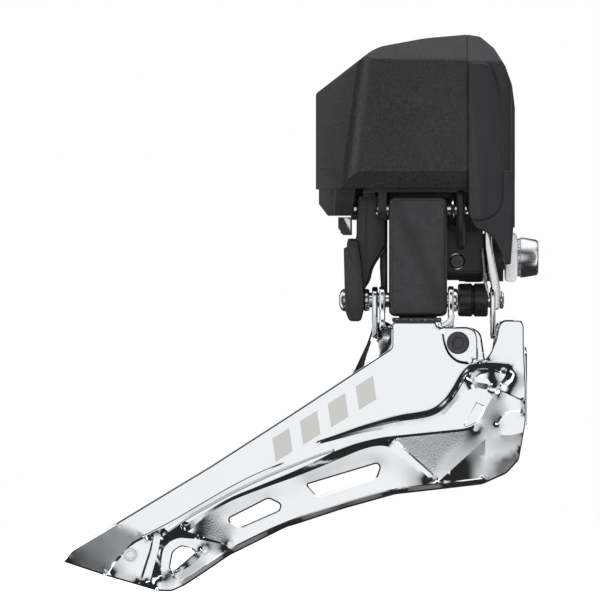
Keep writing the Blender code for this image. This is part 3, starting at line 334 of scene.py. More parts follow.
finishes = {
    "cover": finish("grainedCover", (0.0135, 0.0135, 0.0142), roughness=0.40, bump=0.42, grainSize=2600,
                    spread=0.45, wear=0.15),
    "bracket": finish("smoothShell", (0.0115, 0.0115, 0.013), roughness=0.36, bump=0.12, grainSize=4200,
                      spread=0.15, wear=0.2),
    "gasket": finish("rubberGasket", (0.006, 0.006, 0.006), roughness=0.7, bump=0.2),
    "sector_gear": finish("sinteredGear", (0.30, 0.29, 0.28), metallic=1, roughness=0.35, bump=0.2),
    "reduction_gear": finish("nylonGear", (0.62, 0.60, 0.54), roughness=0.45, bump=0.1),
    "motor_pinion": finish("brassPinion", (0.62, 0.45, 0.20), metallic=1, roughness=0.3, brushed=0.15),
    "motor_can": finish("nickelCan", (0.60, 0.60, 0.60), metallic=1, roughness=0.25, brushed=0.15),
    "bulkhead": finish("mouldedBulkhead", (0.05, 0.05, 0.052), roughness=0.5, bump=0.2),
    "steel_pins": finish("polishedPin", (0.80, 0.81, 0.82), metallic=1, roughness=0.12, brushed=0.05,
                         spread=0.05),
    "circuit_board": finish("circuitBoard", (0.015, 0.10, 0.05), roughness=0.35, coat=0.4, bump=0.1),
    "chip": finish("driverChip", (0.015, 0.015, 0.016), roughness=0.4, bump=0.15),
    "bushes": finish("bronzeBush", (0.45, 0.28, 0.13), metallic=1, roughness=0.35, bump=0.1),
    "seal": finish("rubberSeal", (0.008, 0.008, 0.008), roughness=0.6, bump=0.15),
    "links_black": finish("anodisedLink", (0.0125, 0.0125, 0.0138), roughness=0.32, bump=0.14,
                          grainSize=3200, spread=0.3, wear=0.3),
    "black_screws": finish("blackOxide", (0.020, 0.020, 0.022), roughness=0.28, bump=0.1, coat=0.3),
    "plated_steel": finish("platedSteel", (0.74, 0.75, 0.76), metallic=1, roughness=0.14, brushed=0.05,
                           spread=0.05),
    "drum": finish("acetalDrum", (0.012, 0.012, 0.013), roughness=0.3, bump=0.1),
    "spring": finish("springWire", (0.55, 0.55, 0.55), metallic=1, roughness=0.22, brushed=0.1),
    "cage_chrome": finish("buffedChrome", (0.86, 0.875, 0.89), metallic=1, roughness=0.075, smudge=0.03,
                          grainSize=3000, spread=0.012, wear=0.0),
    "skid_plate": finish("skidNylon", (0.025, 0.025, 0.027), roughness=0.4, bump=0.2),
    "bolt_silver": finish("turnedBolt", (0.80, 0.80, 0.81), metallic=1, roughness=0.2, brushed=0.12,
                          spread=0.08),
    "socket": finish("socketPlastic", (0.014, 0.014, 0.015), roughness=0.35, bump=0.15),
}
barredChrome = finish("barredChrome", (0.86, 0.875, 0.89), metallic=1, roughness=0.075, smudge=0.03, bump=0.5,
                      grainSize=3400, spread=0.012, wear=0.0, patchAttribute="dieSkin", barred=True)
washerSilver = finish("satinWasher", (0.86, 0.86, 0.87), metallic=0.25, roughness=0.35, bump=0.03,
                      spread=0.05, wear=0.0)


def dressCadNodes():
    for name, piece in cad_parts.items():
        for place in piece.material_slots:
            key = (place.material.name if place.material else "").split(".")[0]
            if key not in finishes:
                print("no finish for", name, key)
            place.material = finishes.get(key, finishes["plated_steel"])


dressCadNodes()
print("finishes ready:", len(finishes))

# shapes are made in millimetres and scaled by addPiece


def softPath(points, radius=1.0, step=0.6, closed=False):
    # turns each corner into a short curve, then spaces points evenly along the result
    corners = [Vector(p) for p in points]
    count = len(corners)
    rough = []
    for i, here in enumerate(corners):
        if not closed and i in (0, count - 1):
            rough.append(here)
            continue
        before, after = corners[i - 1], corners[(i + 1) % count]
        cut = min(radius, (before - here).length * 0.49, (after - here).length * 0.49)
        start, end = here + (before - here).normalized() * cut, here + (after - here).normalized() * cut
        for k in range(6):
            t = k / 5
            rough.append(start * (1 - t) ** 2 + here * 2 * t * (1 - t) + end * t * t)
    path = []
    for i in range(len(rough) if closed else len(rough) - 1):
        a, b = rough[i], rough[(i + 1) % len(rough)]
        parts = max(1, math.ceil((b - a).length / step))
        path += [a + (b - a) * k / parts for k in range(parts)]
    if not closed:
        path.append(rough[-1])
    return [p for i, p in enumerate(path) if i == 0 or (p - path[i - 1]).length > 0.02]


def offsetPath(path, distance, closed=False):
    # moves a path to its left by distance; distance may be a list, one for each point
    count = len(path)
    moved = []
    for i, here in enumerate(path):
        a = path[i - 1] if closed or i else here
        b = path[(i + 1) % count] if closed or i < count - 1 else here
        along = (b - a).normalized()
        size = distance[i] if isinstance(distance, list) else distance
        moved.append(here + Vector((-along.y, along.x)) * size)
    return moved


def insidePolygon(px, pz, polygon):
    inside = np.zeros(len(px), bool)
    for a, b in zip(polygon, polygon[1:] + polygon[:1]):
        crosses = (a[1] > pz) != (b[1] > pz)
        rise = (b[1] - a[1]) or 1e-12
        inside ^= crosses & (px < (b[0] - a[0]) * (pz - a[1]) / rise + a[0])
    return inside


def solveHeights(points, triangles, fixed):
    # fills in the free heights so that the surface between the fixed lines is as even as a stretched skin
    count = len(points)
    rows, cols, weights = [], [], []
    for k in range(3):
        i, j, o = triangles[:, k], triangles[:, (k + 1) % 3], triangles[:, (k + 2) % 3]
        u, v = points[i] - points[o], points[j] - points[o]
        cot = (u * v).sum(1) / np.maximum(np.abs(u[:, 0] * v[:, 1] - u[:, 1] * v[:, 0]), 1e-9)
        cot = np.clip(cot, 0.001, 50) / 2
        rows += [i, j]
        cols += [j, i]
        weights += [cot, cot]
    rows, cols, weights = np.concatenate(rows), np.concatenate(cols), np.concatenate(weights)
    total = np.bincount(rows, weights, count)
    free = np.isnan(fixed)
    height = np.where(free, 0.0, fixed)

    def pull(h):
        return np.where(free, total * h - np.bincount(rows, weights * h[cols], count), 0.0)

    residual = -pull(height)
    ahead = residual / np.maximum(total, 1e-9)
    size = (residual * ahead).sum()
    for _ in range(1500):
        if size < 1e-14:
            break
        pulled = pull(ahead)
        share = size / max((ahead * pulled).sum(), 1e-30)
        height += share * ahead
        residual -= share * pulled
        eased = residual / np.maximum(total, 1e-9)
        newSize = (residual * eased).sum()
        ahead = eased + newSize / size * ahead
        size = newSize
    return height


def reliefBody(outline, holes, lines, spacing, baseY, thickness, patches=(), bend=0.0):
    # a pressed plate: lines carry heights, the skin between them is filled in, and the back follows the front
    crease, steepest, tailStart = math.radians(7), math.radians(55), -45
    verts, edges, fixed = [], [], []

    def addLine(path, heights, closed):
        start = len(verts)
        verts.extend(path)
        fixed.extend(heights)
        last = len(path) if closed else len(path) - 1
        edges.extend((start + i, start + (i + 1) % len(path)) for i in range(last))

    addLine(outline[0], outline[1], True)
    for path, heights in holes:
        addLine(path, heights, True)
    for path, heights, closed in lines:
        addLine(path, heights, closed)
    ends = np.array([(verts[a][0], verts[a][1], verts[b][0], verts[b][1]) for a, b in edges])
    xs = np.array([p[0] for p in outline[0]])
    zs = np.array([p[1] for p in outline[0]])
    gx, gz = [], []
    for row, z in enumerate(np.arange(zs.min(), zs.max(), spacing * 0.866)):
        for x in np.arange(xs.min() + (row % 2) * spacing / 2, xs.max(), spacing):
            gx.append(x)
            gz.append(z)
    gx, gz = np.array(gx), np.array(gz)
    keep = insidePolygon(gx, gz, outline[0])
    gx, gz = gx[keep], gz[keep]
    near = np.full(len(gx), 1e9)
    for ax, az, bx, bz in ends:
        dx, dz = bx - ax, bz - az
        t = np.clip(((gx - ax) * dx + (gz - az) * dz) / max(dx * dx + dz * dz, 1e-9), 0, 1)
        near = np.minimum(near, np.hypot(gx - ax - t * dx, gz - az - t * dz))
    keep = near > spacing * 0.5
    for x, z in zip(gx[keep], gz[keep]):
        verts.append(Vector((x, z)))
        fixed.append(None)
    flat, made, faces, origins, edgeOrigins, _ = delaunay_2d_cdt(verts, edges, [], 0, 0.01)
    creases = {tuple(sorted(e)) for e, sources in zip(made, edgeOrigins) if sources}
    points = np.array([(p[0], p[1]) for p in flat])
    triangles = np.array(faces)
    middle = points[triangles].mean(1)
    inside = insidePolygon(middle[:, 0], middle[:, 1], outline[0])
    for path, _ in holes:
        inside &= ~insidePolygon(middle[:, 0], middle[:, 1], path)
    triangles = triangles[inside]
    known = np.full(len(points), np.nan)
    for i, sources in enumerate(origins):
        values = [fixed[s] for s in sources if fixed[s] is not None]
        if values:
            known[i] = sum(values) / len(values)
    heights = solveHeights(points, triangles, known)
    # the tail curves away from the viewer
    heights = heights - bend * np.maximum(0.0, tailStart - points[:, 0]) ** 2
    used = sorted(set(triangles.ravel()))
    bm = bmesh.new()
    layer = bm.verts.layers.float.new("dieSkin")
    front = {i: bm.verts.new((points[i, 0], baseY - heights[i], points[i, 1])) for i in used}
    back = {i: bm.verts.new((points[i, 0], baseY - heights[i] + thickness, points[i, 1])) for i in used}
    for polygon, value in patches:
        hit = insidePolygon(points[:, 0], points[:, 1], polygon)
        for i in used:
            if hit[i]:
                front[i][layer] = value
    near = {}
    for a, b, c in triangles:
        for first, second in ((a, b), (b, c), (c, a)):
            near.setdefault(first, set()).add(second)
            near.setdefault(second, set()).add(first)
    for k in range(2):      # the rough patches fade out at their edges
        mean = {i: sum(front[j][layer] for j in near[i]) / len(near[i]) for i in used}
        for i in used:
            front[i][layer] = 0.4 * front[i][layer] + 0.6 * mean[i]
    rim = {}
    for a, b, c in triangles:
        bm.faces.new((front[a], front[b], front[c]))
        bm.faces.new((back[c], back[b], back[a]))
        for u, v in ((a, b), (b, c), (c, a)):
            rim[(u, v)] = True
    for u, v in rim:
        if (v, u) not in rim:
            bm.faces.new((front[v], front[u], back[u], back[v]))
    bmesh.ops.recalc_face_normals(bm, faces=bm.faces)
    for face in bm.faces:
        face.smooth = True
    name = {vert: i for i, vert in front.items()}
    for edge in bm.edges:      # only the drawn lines and the rims may be sharp
        a, b = (name.get(v) for v in edge.verts)
        drawn = a is not None and b is not None and tuple(sorted((a, b))) in creases
        steep = edge.calc_face_angle(0)
        edge.smooth = not (steep > steepest or (drawn and steep > crease))
    return bm


axisMap = {"XZ": lambda a, b, c: (a, c, b), "YZ": lambda a, b, c: (c, a, b), "XY": lambda a, b, c: (a, b, c)}


def slab(path, plane, low, high, holes=(), bevel=0.2, segments=2):
    # a flat plate between low and high across the plane, with softened rims
    verts = [Vector((p[0], p[1])) for p in path]
    loops = [list(range(len(verts)))]
    for hole in holes:
        start = len(verts)
        verts += [Vector((p[0], p[1])) for p in hole]
        loops.append(list(range(start, len(verts))))
    edges = [(loop[i], loop[(i + 1) % len(loop)]) for loop in loops for i in range(len(loop))]
    flat, _, faces, _, _, _ = delaunay_2d_cdt(verts, edges, [], 0, 0.001)
    points = np.array([(p[0], p[1]) for p in flat])
    triangles = np.array(faces)
    middle = points[triangles].mean(1)
    inside = insidePolygon(middle[:, 0], middle[:, 1], [tuple(p[:2]) for p in path])
    for hole in holes:
        inside &= ~insidePolygon(middle[:, 0], middle[:, 1], [tuple(p[:2]) for p in hole])
    bm = bmesh.new()
    put = axisMap[plane]
    first = [bm.verts.new(put(p[0], p[1], low)) for p in points]
    second = [bm.verts.new(put(p[0], p[1], high)) for p in points]
    rim = set()
    for a, b, c in triangles[inside]:
        bm.faces.new((first[a], first[b], first[c]))
        bm.faces.new((second[c], second[b], second[a]))
        rim |= {(a, b), (b, c), (c, a)}
    for u, v in rim:
        if (v, u) not in rim:
            bm.faces.new((first[v], first[u], second[u], second[v]))
    bmesh.ops.delete(bm, geom=[v for v in bm.verts if not v.link_faces], context="VERTS")
    bmesh.ops.recalc_face_normals(bm, faces=bm.faces)
    bmesh.ops.dissolve_limit(bm, angle_limit=0.002, verts=bm.verts, edges=bm.edges)
    roundEdges(bm, bevel, segments, 50)
    return bm


def softSlab(points, corner, step, plane, low, high, bevel, segments=2):
    return slab(softPath(points, corner, step, True), plane, low, high, bevel=bevel, segments=segments)


def roundEdges(bm, width, segments, minAngle):
    if width <= 0:
        return
    sharp = [e for e in bm.edges if len(e.link_faces) == 2 and e.calc_face_angle(0) > math.radians(minAngle)]
    bmesh.ops.bevel(bm, geom=sharp, offset=width, offset_type="OFFSET", segments=segments,
                    profile=0.5, affect="EDGES", clamp_overlap=True)


def turned(axis, centre, profile, segments=40):
    # a lathe shape: profile is (along, radius) from one end to the other; centre is the two other coordinates
    bm = bmesh.new()
    rings = []
    for along, radius in profile:
        ring = []
        for k in range(segments if radius > 1e-6 else 1):
            turn = 2 * math.pi * k / segments
            u, v = radius * math.cos(turn), radius * math.sin(turn)
            place = {"X": (along, centre[0] + u, centre[1] + v), "Y": (centre[0] + u, along, centre[1] + v),
                     "Z": (centre[0] + u, centre[1] + v, along)}[axis]
            ring.append(bm.verts.new(place))
        rings.append(ring)
    for a, b in zip(rings, rings[1:]):
        for k in range(segments):
            corners = [a[k % len(a)], a[(k + 1) % len(a)], b[(k + 1) % len(b)], b[k % len(b)]]
            corners = [c for i, c in enumerate(corners) if c is not corners[i - 1]]
            if len(set(corners)) > 2:
                bm.faces.new(corners)
    bmesh.ops.recalc_face_normals(bm, faces=bm.faces)
    return bm


def cutBody(planes):
    # a convex body bounded by planes, each (point, outward direction)
    bm = bmesh.new()
    bmesh.ops.create_cube(bm, size=400)
    for point, outward in planes:
        geometry = bm.verts[:] + bm.edges[:] + bm.faces[:]
        bmesh.ops.bisect_plane(bm, geom=geometry, dist=1e-5, plane_co=point, plane_no=outward,
                               clear_outer=True)
        rim = [e for e in bm.edges if e.is_boundary]
        if rim:
            bmesh.ops.holes_fill(bm, edges=rim, sides=0)
    bmesh.ops.remove_doubles(bm, verts=bm.verts, dist=0.01)
    bmesh.ops.recalc_face_normals(bm, faces=bm.faces)
    return bm


def gather(*bodies):
    # puts several closed bodies in one mesh
    mesh = bpy.data.meshes.new("gathered")
    total = bmesh.new()
    for bm in bodies:
        bm.to_mesh(mesh)
        total.from_mesh(mesh)
        bm.free()
    bpy.data.meshes.remove(mesh)
    return total


def addPiece(name, bm, body, slot, nodes=(), smooth=35, material=None):
    bmesh.ops.scale(bm, vec=(0.001, 0.001, 0.001), verts=bm.verts)
    mesh = bpy.data.meshes.new(name)
    bm.to_mesh(mesh)
    bm.free()
    if smooth:
        mesh.shade_smooth()
        mesh.set_sharp_from_angle(angle=math.radians(smooth))
    mesh.materials.append(material or finishes[slot])
    piece = bpy.data.objects.new(name, mesh)
    addToScene(piece)
    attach(piece, body)
    if nodes:
        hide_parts(*nodes)
    return piece


# outer plate of the cage: levels are millimetres in front of baseY
outerPlate = {
    "baseY": -25.2, "thickness": 1.15, "spacing": 0.9,
    "panel": 1.0, "recess": -0.7, "lip": -0.1, "bend": 0.0008,
}
panelLevel, recessLevel, lipLevel = outerPlate["panel"], outerPlate["recess"], outerPlate["lip"]
lowerEdge = [(3.0, -40.5), (0.4, -43.4), (-4.5, -45.6), (-13, -46.6), (-22, -47.6), (-32.4, -50.5),
             (-44, -54.3), (-55.3, -59.9), (-59.8, -63), (-64.2, -65.9), (-66.9, -67.1), (-69.6, -67),
             (-80.3, -63.9)]
plateLines = []      # (path, heights, closed), in the order in which they are drawn


def railHeight(x):
    # the rail leaves the panel's level near the tail and sinks towards the nose
    t = min(1.0, max(0.0, (x + 40) / 22))
    return 0.95 - 0.85 * t * t * (3 - 2 * t)


def onRail(p):
    return railHeight(p.x)


def tipLevel(p):
    # the tip is one flat facet that falls away from the crease
    past = (p[0] + 77.4) * -0.387 + (p[1] + 53.4) * -0.922
    return panelLevel - 0.15 * max(0.0, past)


def cornerLip(x):
    return lipLevel - 0.35 * min(1, max(0, (x + 13) / 12))


def levelAt(p):
    x, z = p
    if x > -13 and z > -21.2 and x < -4.6:
        return 0.2
    if x > -4.6 and z > -45:
        t = min(1, max(0, (-35.0 - z) / 9.0))
        return 0.85 + (cornerLip(x) - 0.85) * t
    if x < -70 and z < -61.5 and x > -80.2:
        return recessLevel + 0.3
    if x < -73:
        return tipLevel(p)
    if z > 0.649 * x - 9:
        return panelLevel
    return cornerLip(x)


def drawLine(points, height, corner=99, step=0.6, closed=False):
    soft = softPath(points, corner, step, closed)
    plateLines.append((soft, [height(p) if callable(height) else height for p in soft], closed))


def drawStep():
    # the long step under the panel
    stepLine = softPath([(-37.4, -37.1), (-33.4, -36), (-29, -34.7), (-24.6, -33.7), (-21, -32.9),
                         (-17.4, -32.5), (-13.8, -31.7), (-11, -29.4), (-9.2, -26.7), (-7.9, -24.3),
                         (-6.8, -23.0), (-5.2, -22.5), (-2, -22.5), (0.6, -22.8)], 99, 0.6)
    widths = [0.25 + 1.35 * min(1, max(0, (p.x + 37.4) / 18)) for p in stepLine]
    depths = [panelLevel - railHeight(p.x) + 0.12 for p in stepLine]
    for share, fall in ((0.0, 1.0), (0.18, 0.67), (0.38, 0.385), (0.62, 0.145), (0.82, 0.033), (1.0, 0.0)):
        moved = offsetPath(stepLine, [w * share + (0.05 if share else 0) for w in widths])
        plateLines.append((moved, [panelLevel - d * fall for d in depths], False))
    drawLine([(-37.2, -37.5), (-33.4, -36.5), (-29, -35.3), (-24.6, -34.6), (-21, -34.1), (-17, -33.5),
              (-13.6, -32.7), (-11.6, -31.1), (-10, -29.1), (-8.4, -27.4), (-6.6, -26.2), (-3.2, -26.6)],
              onRail)


def drawRail():
    # rail's lower edge, and the dark fall into the recess
    edge = [(-63.5, -53.2), (-55, -48.1), (-50.7, -46.4), (-46.3, -44.6), (-42, -42.8), (-37.7, -40.8),
            (-34.4, -39), (-31.2, -37.8), (-29, -37.1), (-24.6, -36.1), (-21, -35.7), (-17, -35.3),
            (-13, -34.9), (-8.2, -34.4), (-6.5, -33.9), (-4.8, -32.5), (-3.9, -30.5), (-2.6, -28.2),
            (-1.9, -27.2)]
    drawLine(edge, onRail)
    drawLine([(-64.4, -54.2), (-55, -48.9), (-50.7, -47.2), (-46.3, -45.6), (-42, -44.1), (-37.7, -42.4),
              (-33.3, -40.5), (-29, -38.7), (-26.6, -38), (-24.6, -37.8), (-22.8, -38.2), (-21, -39.2),
              (-18, -41.8), (-15.2, -44.3)], recessLevel)


def drawGrooves():
    # groove that parts the rail from the panel near the tail
    groove = softPath([(-68, -55.3), (-63.4, -52.1), (-60, -50.2), (-55, -47.4), (-50.7, -45.3),
                       (-46.3, -43.3), (-42, -41.6), (-37.7, -39.8), (-34.2, -38.7)], 99, 0.6)
    for side, sink in ((0.28, 0.0), (0.0, 0.45), (-0.28, 0.0)):
        plateLines.append((offsetPath(groove, side), [railHeight(p.x) - sink for p in groove], False))
    thin = softPath([(-72.4, -55.9), (-66.9, -53.1), (-60, -49.0), (-55, -46.1), (-50.7, -43.9),
                     (-46.3, -42), (-42.5, -40.5)], 99, 0.6)
    for side, sink in ((0.16, 0.0), (0.0, 0.10), (-0.16, 0.0)):
        plateLines.append((offsetPath(thin, side),
                           [panelLevel - sink * min(1, max(0, (-43.5 - p.x) / 4)) for p in thin], False))


def drawCorner():
    # faceted corner under the nose
    drawLine([(-22.6, -36.5), (-14.9, -43.4), (-13.6, -44.9)], recessLevel, 0.1)
    drawLine([(-22.2, -36.35), (-14.5, -43.3), (-13.2, -44.6)], lambda p: -0.2 - 0.155 * (p.y + 36.35), 0.1)
    drawLine([(-21.7, -36.3), (-17, -35.85), (-13, -35.45), (-8.2, -34.95), (-6.0, -34.4)], -0.2, 99)
    drawLine([(-13.0, -44.7), (-3.9, -36.5)], lambda p: 1.05 - 0.065 * (p.x + 13.0), 0.1)
    drawLine([(-3.9, -36.5), (-4.2, -44.2)], lambda p: 0.45 - 0.085 * (-36.5 - p.y), 0.1)
    drawLine([(-4.1, -40.3), (-1.2, -40.3), (2.6, -38.6)], lambda p: 0.13 + 0.04 * (p.x + 4.1), 99)
    drawLine([(-3.9, -36.5), (-1.5, -35.6), (0.8, -35.8), (3.5, -35.2)],
             lambda p: 0.45 + 0.11 * min(3.6, p.x + 3.9), 99)


def drawLug():
    # the panel steps down to the lug that takes the bridge screw
    drawLine([(-12.75, -13.1), (-12.6, -16.6), (-11.6, -19.5), (-9.6, -21.3), (-7.0, -21.6)], panelLevel, 1.5)
    drawLine([(-12.3, -14.3), (-12.15, -16.5), (-11.2, -19.2), (-9.4, -20.8), (-6.6, -21.0)], 0.2, 1.5)


def drawBoss():
    # boss by the nose
    drawLine([(-1.7, -33.4), (-1.0, -31.8), (0.6, -30.8), (2.4, -30.6), (3.4, -30.9)], 0.72)
    drawLine([(-1.4, -33.4), (-0.7, -32.15), (0.7, -31.2), (2.3, -31.0), (3.3, -31.3)], 1.0)
    drawLine([(1.6, -23.0), (3.6, -18.4)], 0.86, 0.1)
    drawLine([(-1.1, -26.7), (3.3, -28.8)], 0.62, 0.1)
    drawLine([(-1.1, -26.45), (3.3, -28.5)], 0.85, 0.1)


def drawPocket():
    # pocket under the notch
    pocket = [(-6.7, -23.9), (-5.6, -23.1), (-2, -23.1), (0.3, -23.5), (-1.6, -26.4), (-6.3, -25.3)]
    drawLine(pocket, -0.7, 0.5, 0.5, True)
    lug = [(-6.2, -24.0), (-3.4, -24.4), (-2.7, -25.6), (-6.0, -25.0)]
    drawLine(lug, -0.1, 0.3, 0.4, True)
    window = [(-5.6, -29.2), (-4.2, -30.0), (-4.5, -31.2), (-5.7, -33.0), (-7.9, -34.0), (-8.1, -33.8)]
    drawLine(window, -0.35, 0.3, 0.4, True)
    drawLine(offsetPath([Vector(p) for p in window], 0.22, True), onRail, 0.3, 0.4, True)


def drawLip():
    # lip along the lower edge
    edge = softPath(lowerEdge[2:10], 99, 0.7)
    plateLines.append((offsetPath(edge, -1.35), [lipLevel - 0.1 for p in edge], False))
    plateLines.append((offsetPath(edge, -1.1), [lipLevel + 0.15 for p in edge], False))


def drawTail():
    # tip facet, tail recess and rib
    drawLine([(-77.3, -53.5), (-74.8, -54.4), (-72.4, -55.5)], panelLevel, 0.2)
    drawLine([(-72.4, -55.9), (-74.8, -57.2), (-78.6, -61.2), (-79.9, -63.4)], tipLevel, 0.5)
    drawLine([(-71.9, -56.2), (-74.4, -57.5), (-78.2, -61.5), (-79.4, -63.3)], recessLevel - 0.1, 0.5)
    drawLine([(-70.8, -56.2), (-71.2, -58.5), (-72.4, -62), (-73.3, -65.0)], recessLevel - 0.1, 99)
    drawLine([(-70.4, -55.9), (-70.8, -58.5), (-71.9, -62), (-72.9, -65.3)], 0.75, 99)
    drawLine([(-69.1, -56.2), (-69.5, -58.8), (-70.4, -62), (-71.4, -65.8)], 0.75, 99)
    drawLine([(-67.2, -57.1), (-68.5, -58.4), (-69.0, -61.2), (-68.9, -64.3)], recessLevel + 0.1, 99)
    drawLine([(-67.2, -57.1), (-65.5, -56.3), (-61.7, -56.6), (-56.2, -57.7)], recessLevel + 0.1, 99)
    drawLine([(-64.8, -54.6), (-61, -56.0), (-56, -57.4)], 0.3, 99)
    drawLine([(-60.4, -58.8), (-61.6, -60.8), (-64, -62.6), (-66.5, -64.0)], 0.0, 99)
    drawLine([(-61.1, -59.2), (-62.2, -60.6), (-64.2, -62.0), (-66.3, -63.2)], recessLevel - 0.35, 99)


def rimHole(points, top, slope):
    # the rim follows the recess, which rises from its upper edge to the lip
    loop = softPath(points, 0.6, 0.45, closed=True)
    high = max(p.y - 0.42 * p.x for p in loop)
    level = [top + slope * (high - p.y + 0.42 * p.x) for p in loop]
    plateLines.append((offsetPath(loop, -0.3, True), level, True))
    return loop, [value - 0.25 for value in level]


def makeOuterPlate():
    outer = [(-88.8, -61.1), (-87.2, -58.8), (-77.4, -53), (-58.9, -41.8), (-42.3, -31.1), (-22.7, -18.2),
             (-22.7, -13), (-12.5, -13), (-12.3, -14), (-7.3, -14), (-5.8, -14.8), (-5.4, -16.4),
             (-5.4, -20.8), (-4.2, -20.8), (-3.1, -19.4), (-1.9, -16.6), (-1.3, -13.6), (-0.4, -12.6),
             (3.2, -12.6), (3.9, -13.6), (3.9, -17.5), (4.3, -25.8), (4.3, -33)] + lowerEdge
    path = softPath(outer, 0.7, 0.7, closed=True)
    for distance, drop in ((-0.12, 0.08), (-0.35, 0.0)):
        plateLines.append((offsetPath(path, distance, True), [levelAt(p) - drop for p in path], True))
    for draw in (drawStep, drawRail, drawGrooves, drawCorner, drawLug, drawBoss, drawPocket, drawLip,
                 drawTail):
        draw()
    windows = (
        ([(-39.6, -45.6), (-39.4, -46), (-37.6, -48), (-25.8, -44.2), (-25.1, -42.1), (-25.6, -41.4)],
         -0.45, 0.06),
        ([(-55.3, -52.4), (-55.1, -53.2), (-53, -54.2), (-45.3, -50.8), (-45, -49.6), (-47.4, -48.4)],
         -0.5, 0.06),
        ([(-66.6, -59.2), (-67.2, -62.5), (-66.2, -62.8), (-62.1, -59.3), (-62.6, -58.7), (-64.9, -58)],
         -0.65, 0.0))
    holes = [rimHole(*window) for window in windows]
    speckled = [([(-22.4, -36.5), (-8.2, -34.8), (-14.5, -43.6)], 1.0),
                ([(-63.6, -54), (-55.2, -49.8), (-56.6, -53), (-54.6, -55.6), (-55.6, -57.2)], 0.5)]
    body = reliefBody((path, [levelAt(p) - 0.3 for p in path]), holes, plateLines, outerPlate["spacing"],
                      outerPlate["baseY"], outerPlate["thickness"], speckled, outerPlate["bend"])
    print("outer plate faces", len(body.faces))
    return addPiece("cage_outer_plate", body, "cage", "cage_chrome", ["outer_plate"], smooth=0,
                    material=barredChrome)


makeOuterPlate()
print("outer plate made")

# motor cover
coverShape = {"seamX": -7.6, "edge": 0.45, "corner": 5.5}


def facing(*points, middle=(-16, -8, 26)):
    # plane through three points, turned away from the middle of the housing
    a, b, c = (Vector(p) for p in points)
    normal = (b - a).cross(c - a).normalized()
    if normal.dot(a - Vector(middle)) < 0:
        normal = -normal
    return a, normal


def between(first, second, radius, steps):
    # planes that round the edge where two planes meet
    (p1, n1), (p2, n2) = first, second
    line = n1.cross(n2)
    corner = (n2.cross(line) * p1.dot(n1) + line.cross(n1) * p2.dot(n2)) / line.length_squared
    centre = corner - (n1 + n2) * (radius / (1 + n1.dot(n2)))
    rounded = []
    for k in range(1, steps + 1):
        normal = n1.lerp(n2, k / (steps + 1)).normalized()
        rounded.append((centre + normal * radius, normal))
    return rounded


def coverPlanes(inward=0.0):
    front = facing((-20, -24, 17.3), (-10, -24, 17.3), (-10, -23.4, 39.2))
    band = facing((-20, -24, 17.3), (-10, -24, 17.3), (-10, -22.5, 13.6))
    brow = facing((-28, -23.3, 39.9), (-8, -23.4, 39.4), (-8, -22.9, 40.1))
    crown = facing((-28, -22.3, 40.8), (-8, -22.9, 40.1), (-8, -17.5, 44.8))
    roof = facing((-7.6, 0, 44.8), (-16, 0, 44.05), (-16, 5, 44.05))
    slope = facing((-16, 0, 44.05), (-25.8, 0, 42.2), (-25.8, 5, 42.2))
    rake = facing((-25.8, 0, 42.2), (-37.9, 0, 33), (-37.9, 5, 33))
    rear = (Vector((-37.9, 0, 20)), Vector((-1, 0, 0)))
    corner = facing((-28.4, -23.4, 39.2), (-31.3, -24, 17.3), (-37.9, -14.5, 17.3))
    inner = (Vector((-20, 8, 20)), Vector((0, 1, 0)))
    innerCrown = facing((-20, -1, 44.8), (-10, -1, 44.8), (-10, 8, 37))
    innerCorner = facing((-33.9, 8, 20), (-33.9, 8, 30), (-37.9, 4, 30))
    floor = (Vector((-20, 0, 13.8)), Vector((0, 0, -1)))
    planes = [front, band, brow, crown, roof, slope, rake, rear, corner, inner, innerCrown, innerCorner,
              floor]
    big, small = coverShape["corner"], coverShape["edge"]
    rounded = [(front, corner, big, 7), (corner, rear, small * 3, 5), (front, band, small, 3),
               (roof, slope, 30, 1), (slope, rake, 9, 4), (rake, rear, small * 2, 5),
               (front, brow, small, 2), (brow, crown, small, 2), (crown, roof, small * 3, 5),
               (crown, slope, small * 3, 5), (crown, rake, small * 3, 5), (corner, rake, small * 3, 5),
               (corner, band, small, 3), (inner, innerCrown, small * 3, 4),
               (inner, innerCorner, small * 3, 4), (innerCrown, roof, small * 3, 4),
               (innerCorner, rear, small * 3, 4), (band, floor, small, 4)]
    for pair in rounded:
        planes += between(*pair)
    return [(p - n * inward, n) for p, n in planes]


def makeMotorCover():
    seam = (Vector((coverShape["seamX"], 0, 0)), Vector((1, 0, 0)))
    shell = cutBody(coverPlanes() + [seam])
    inner = (-34, -12, 13)
    side = facing((-37.3, 0, 18), (-37.3, 5, 18), (-37.3, 0, 10.8), middle=inner)
    under = facing((-37.3, 0, 10.8), (-35.5, 0, 8.4), (-35.5, 5, 8.4), middle=inner)
    base = (Vector((-33, 0, 8.4)), Vector((0, 0, -1)))
    near = facing((-30.6, 0, 8.4), (-30.6, 5, 8.4), (-29.6, 0, 15.4), middle=inner)
    slant = facing((-37.3, -15.5, 16), (-33.9, -20.5, 16), (-34.2, -19, 8.4), middle=inner)
    face = facing((-33.9, -20.5, 16), (-30.6, -20.5, 16), (-33.9, -18.6, 8.4), middle=inner)
    soft = coverShape["edge"]
    planes = [side, under, base, near, slant, face, (Vector((-34, -4.5, 12)), Vector((0, 1, 0))),
              (Vector((-34, -12, 17.5)), Vector((0, 0, 1)))]
    rounded = [(side, under, soft, 3), (under, base, soft, 3), (side, slant, soft * 2, 4),
               (slant, face, soft * 2, 4), (face, near, soft, 4), (face, base, soft, 4),
               (slant, base, soft, 4), (slant, under, soft, 3)]
    for pair in rounded:
        planes += between(*pair)
    return addPiece("cover_shell", gather(shell, cutBody(planes)), "bracket", "cover", ["motor_cover"],
                    smooth=16)


makeMotorCover()
print("motor cover made")

# screws and pins


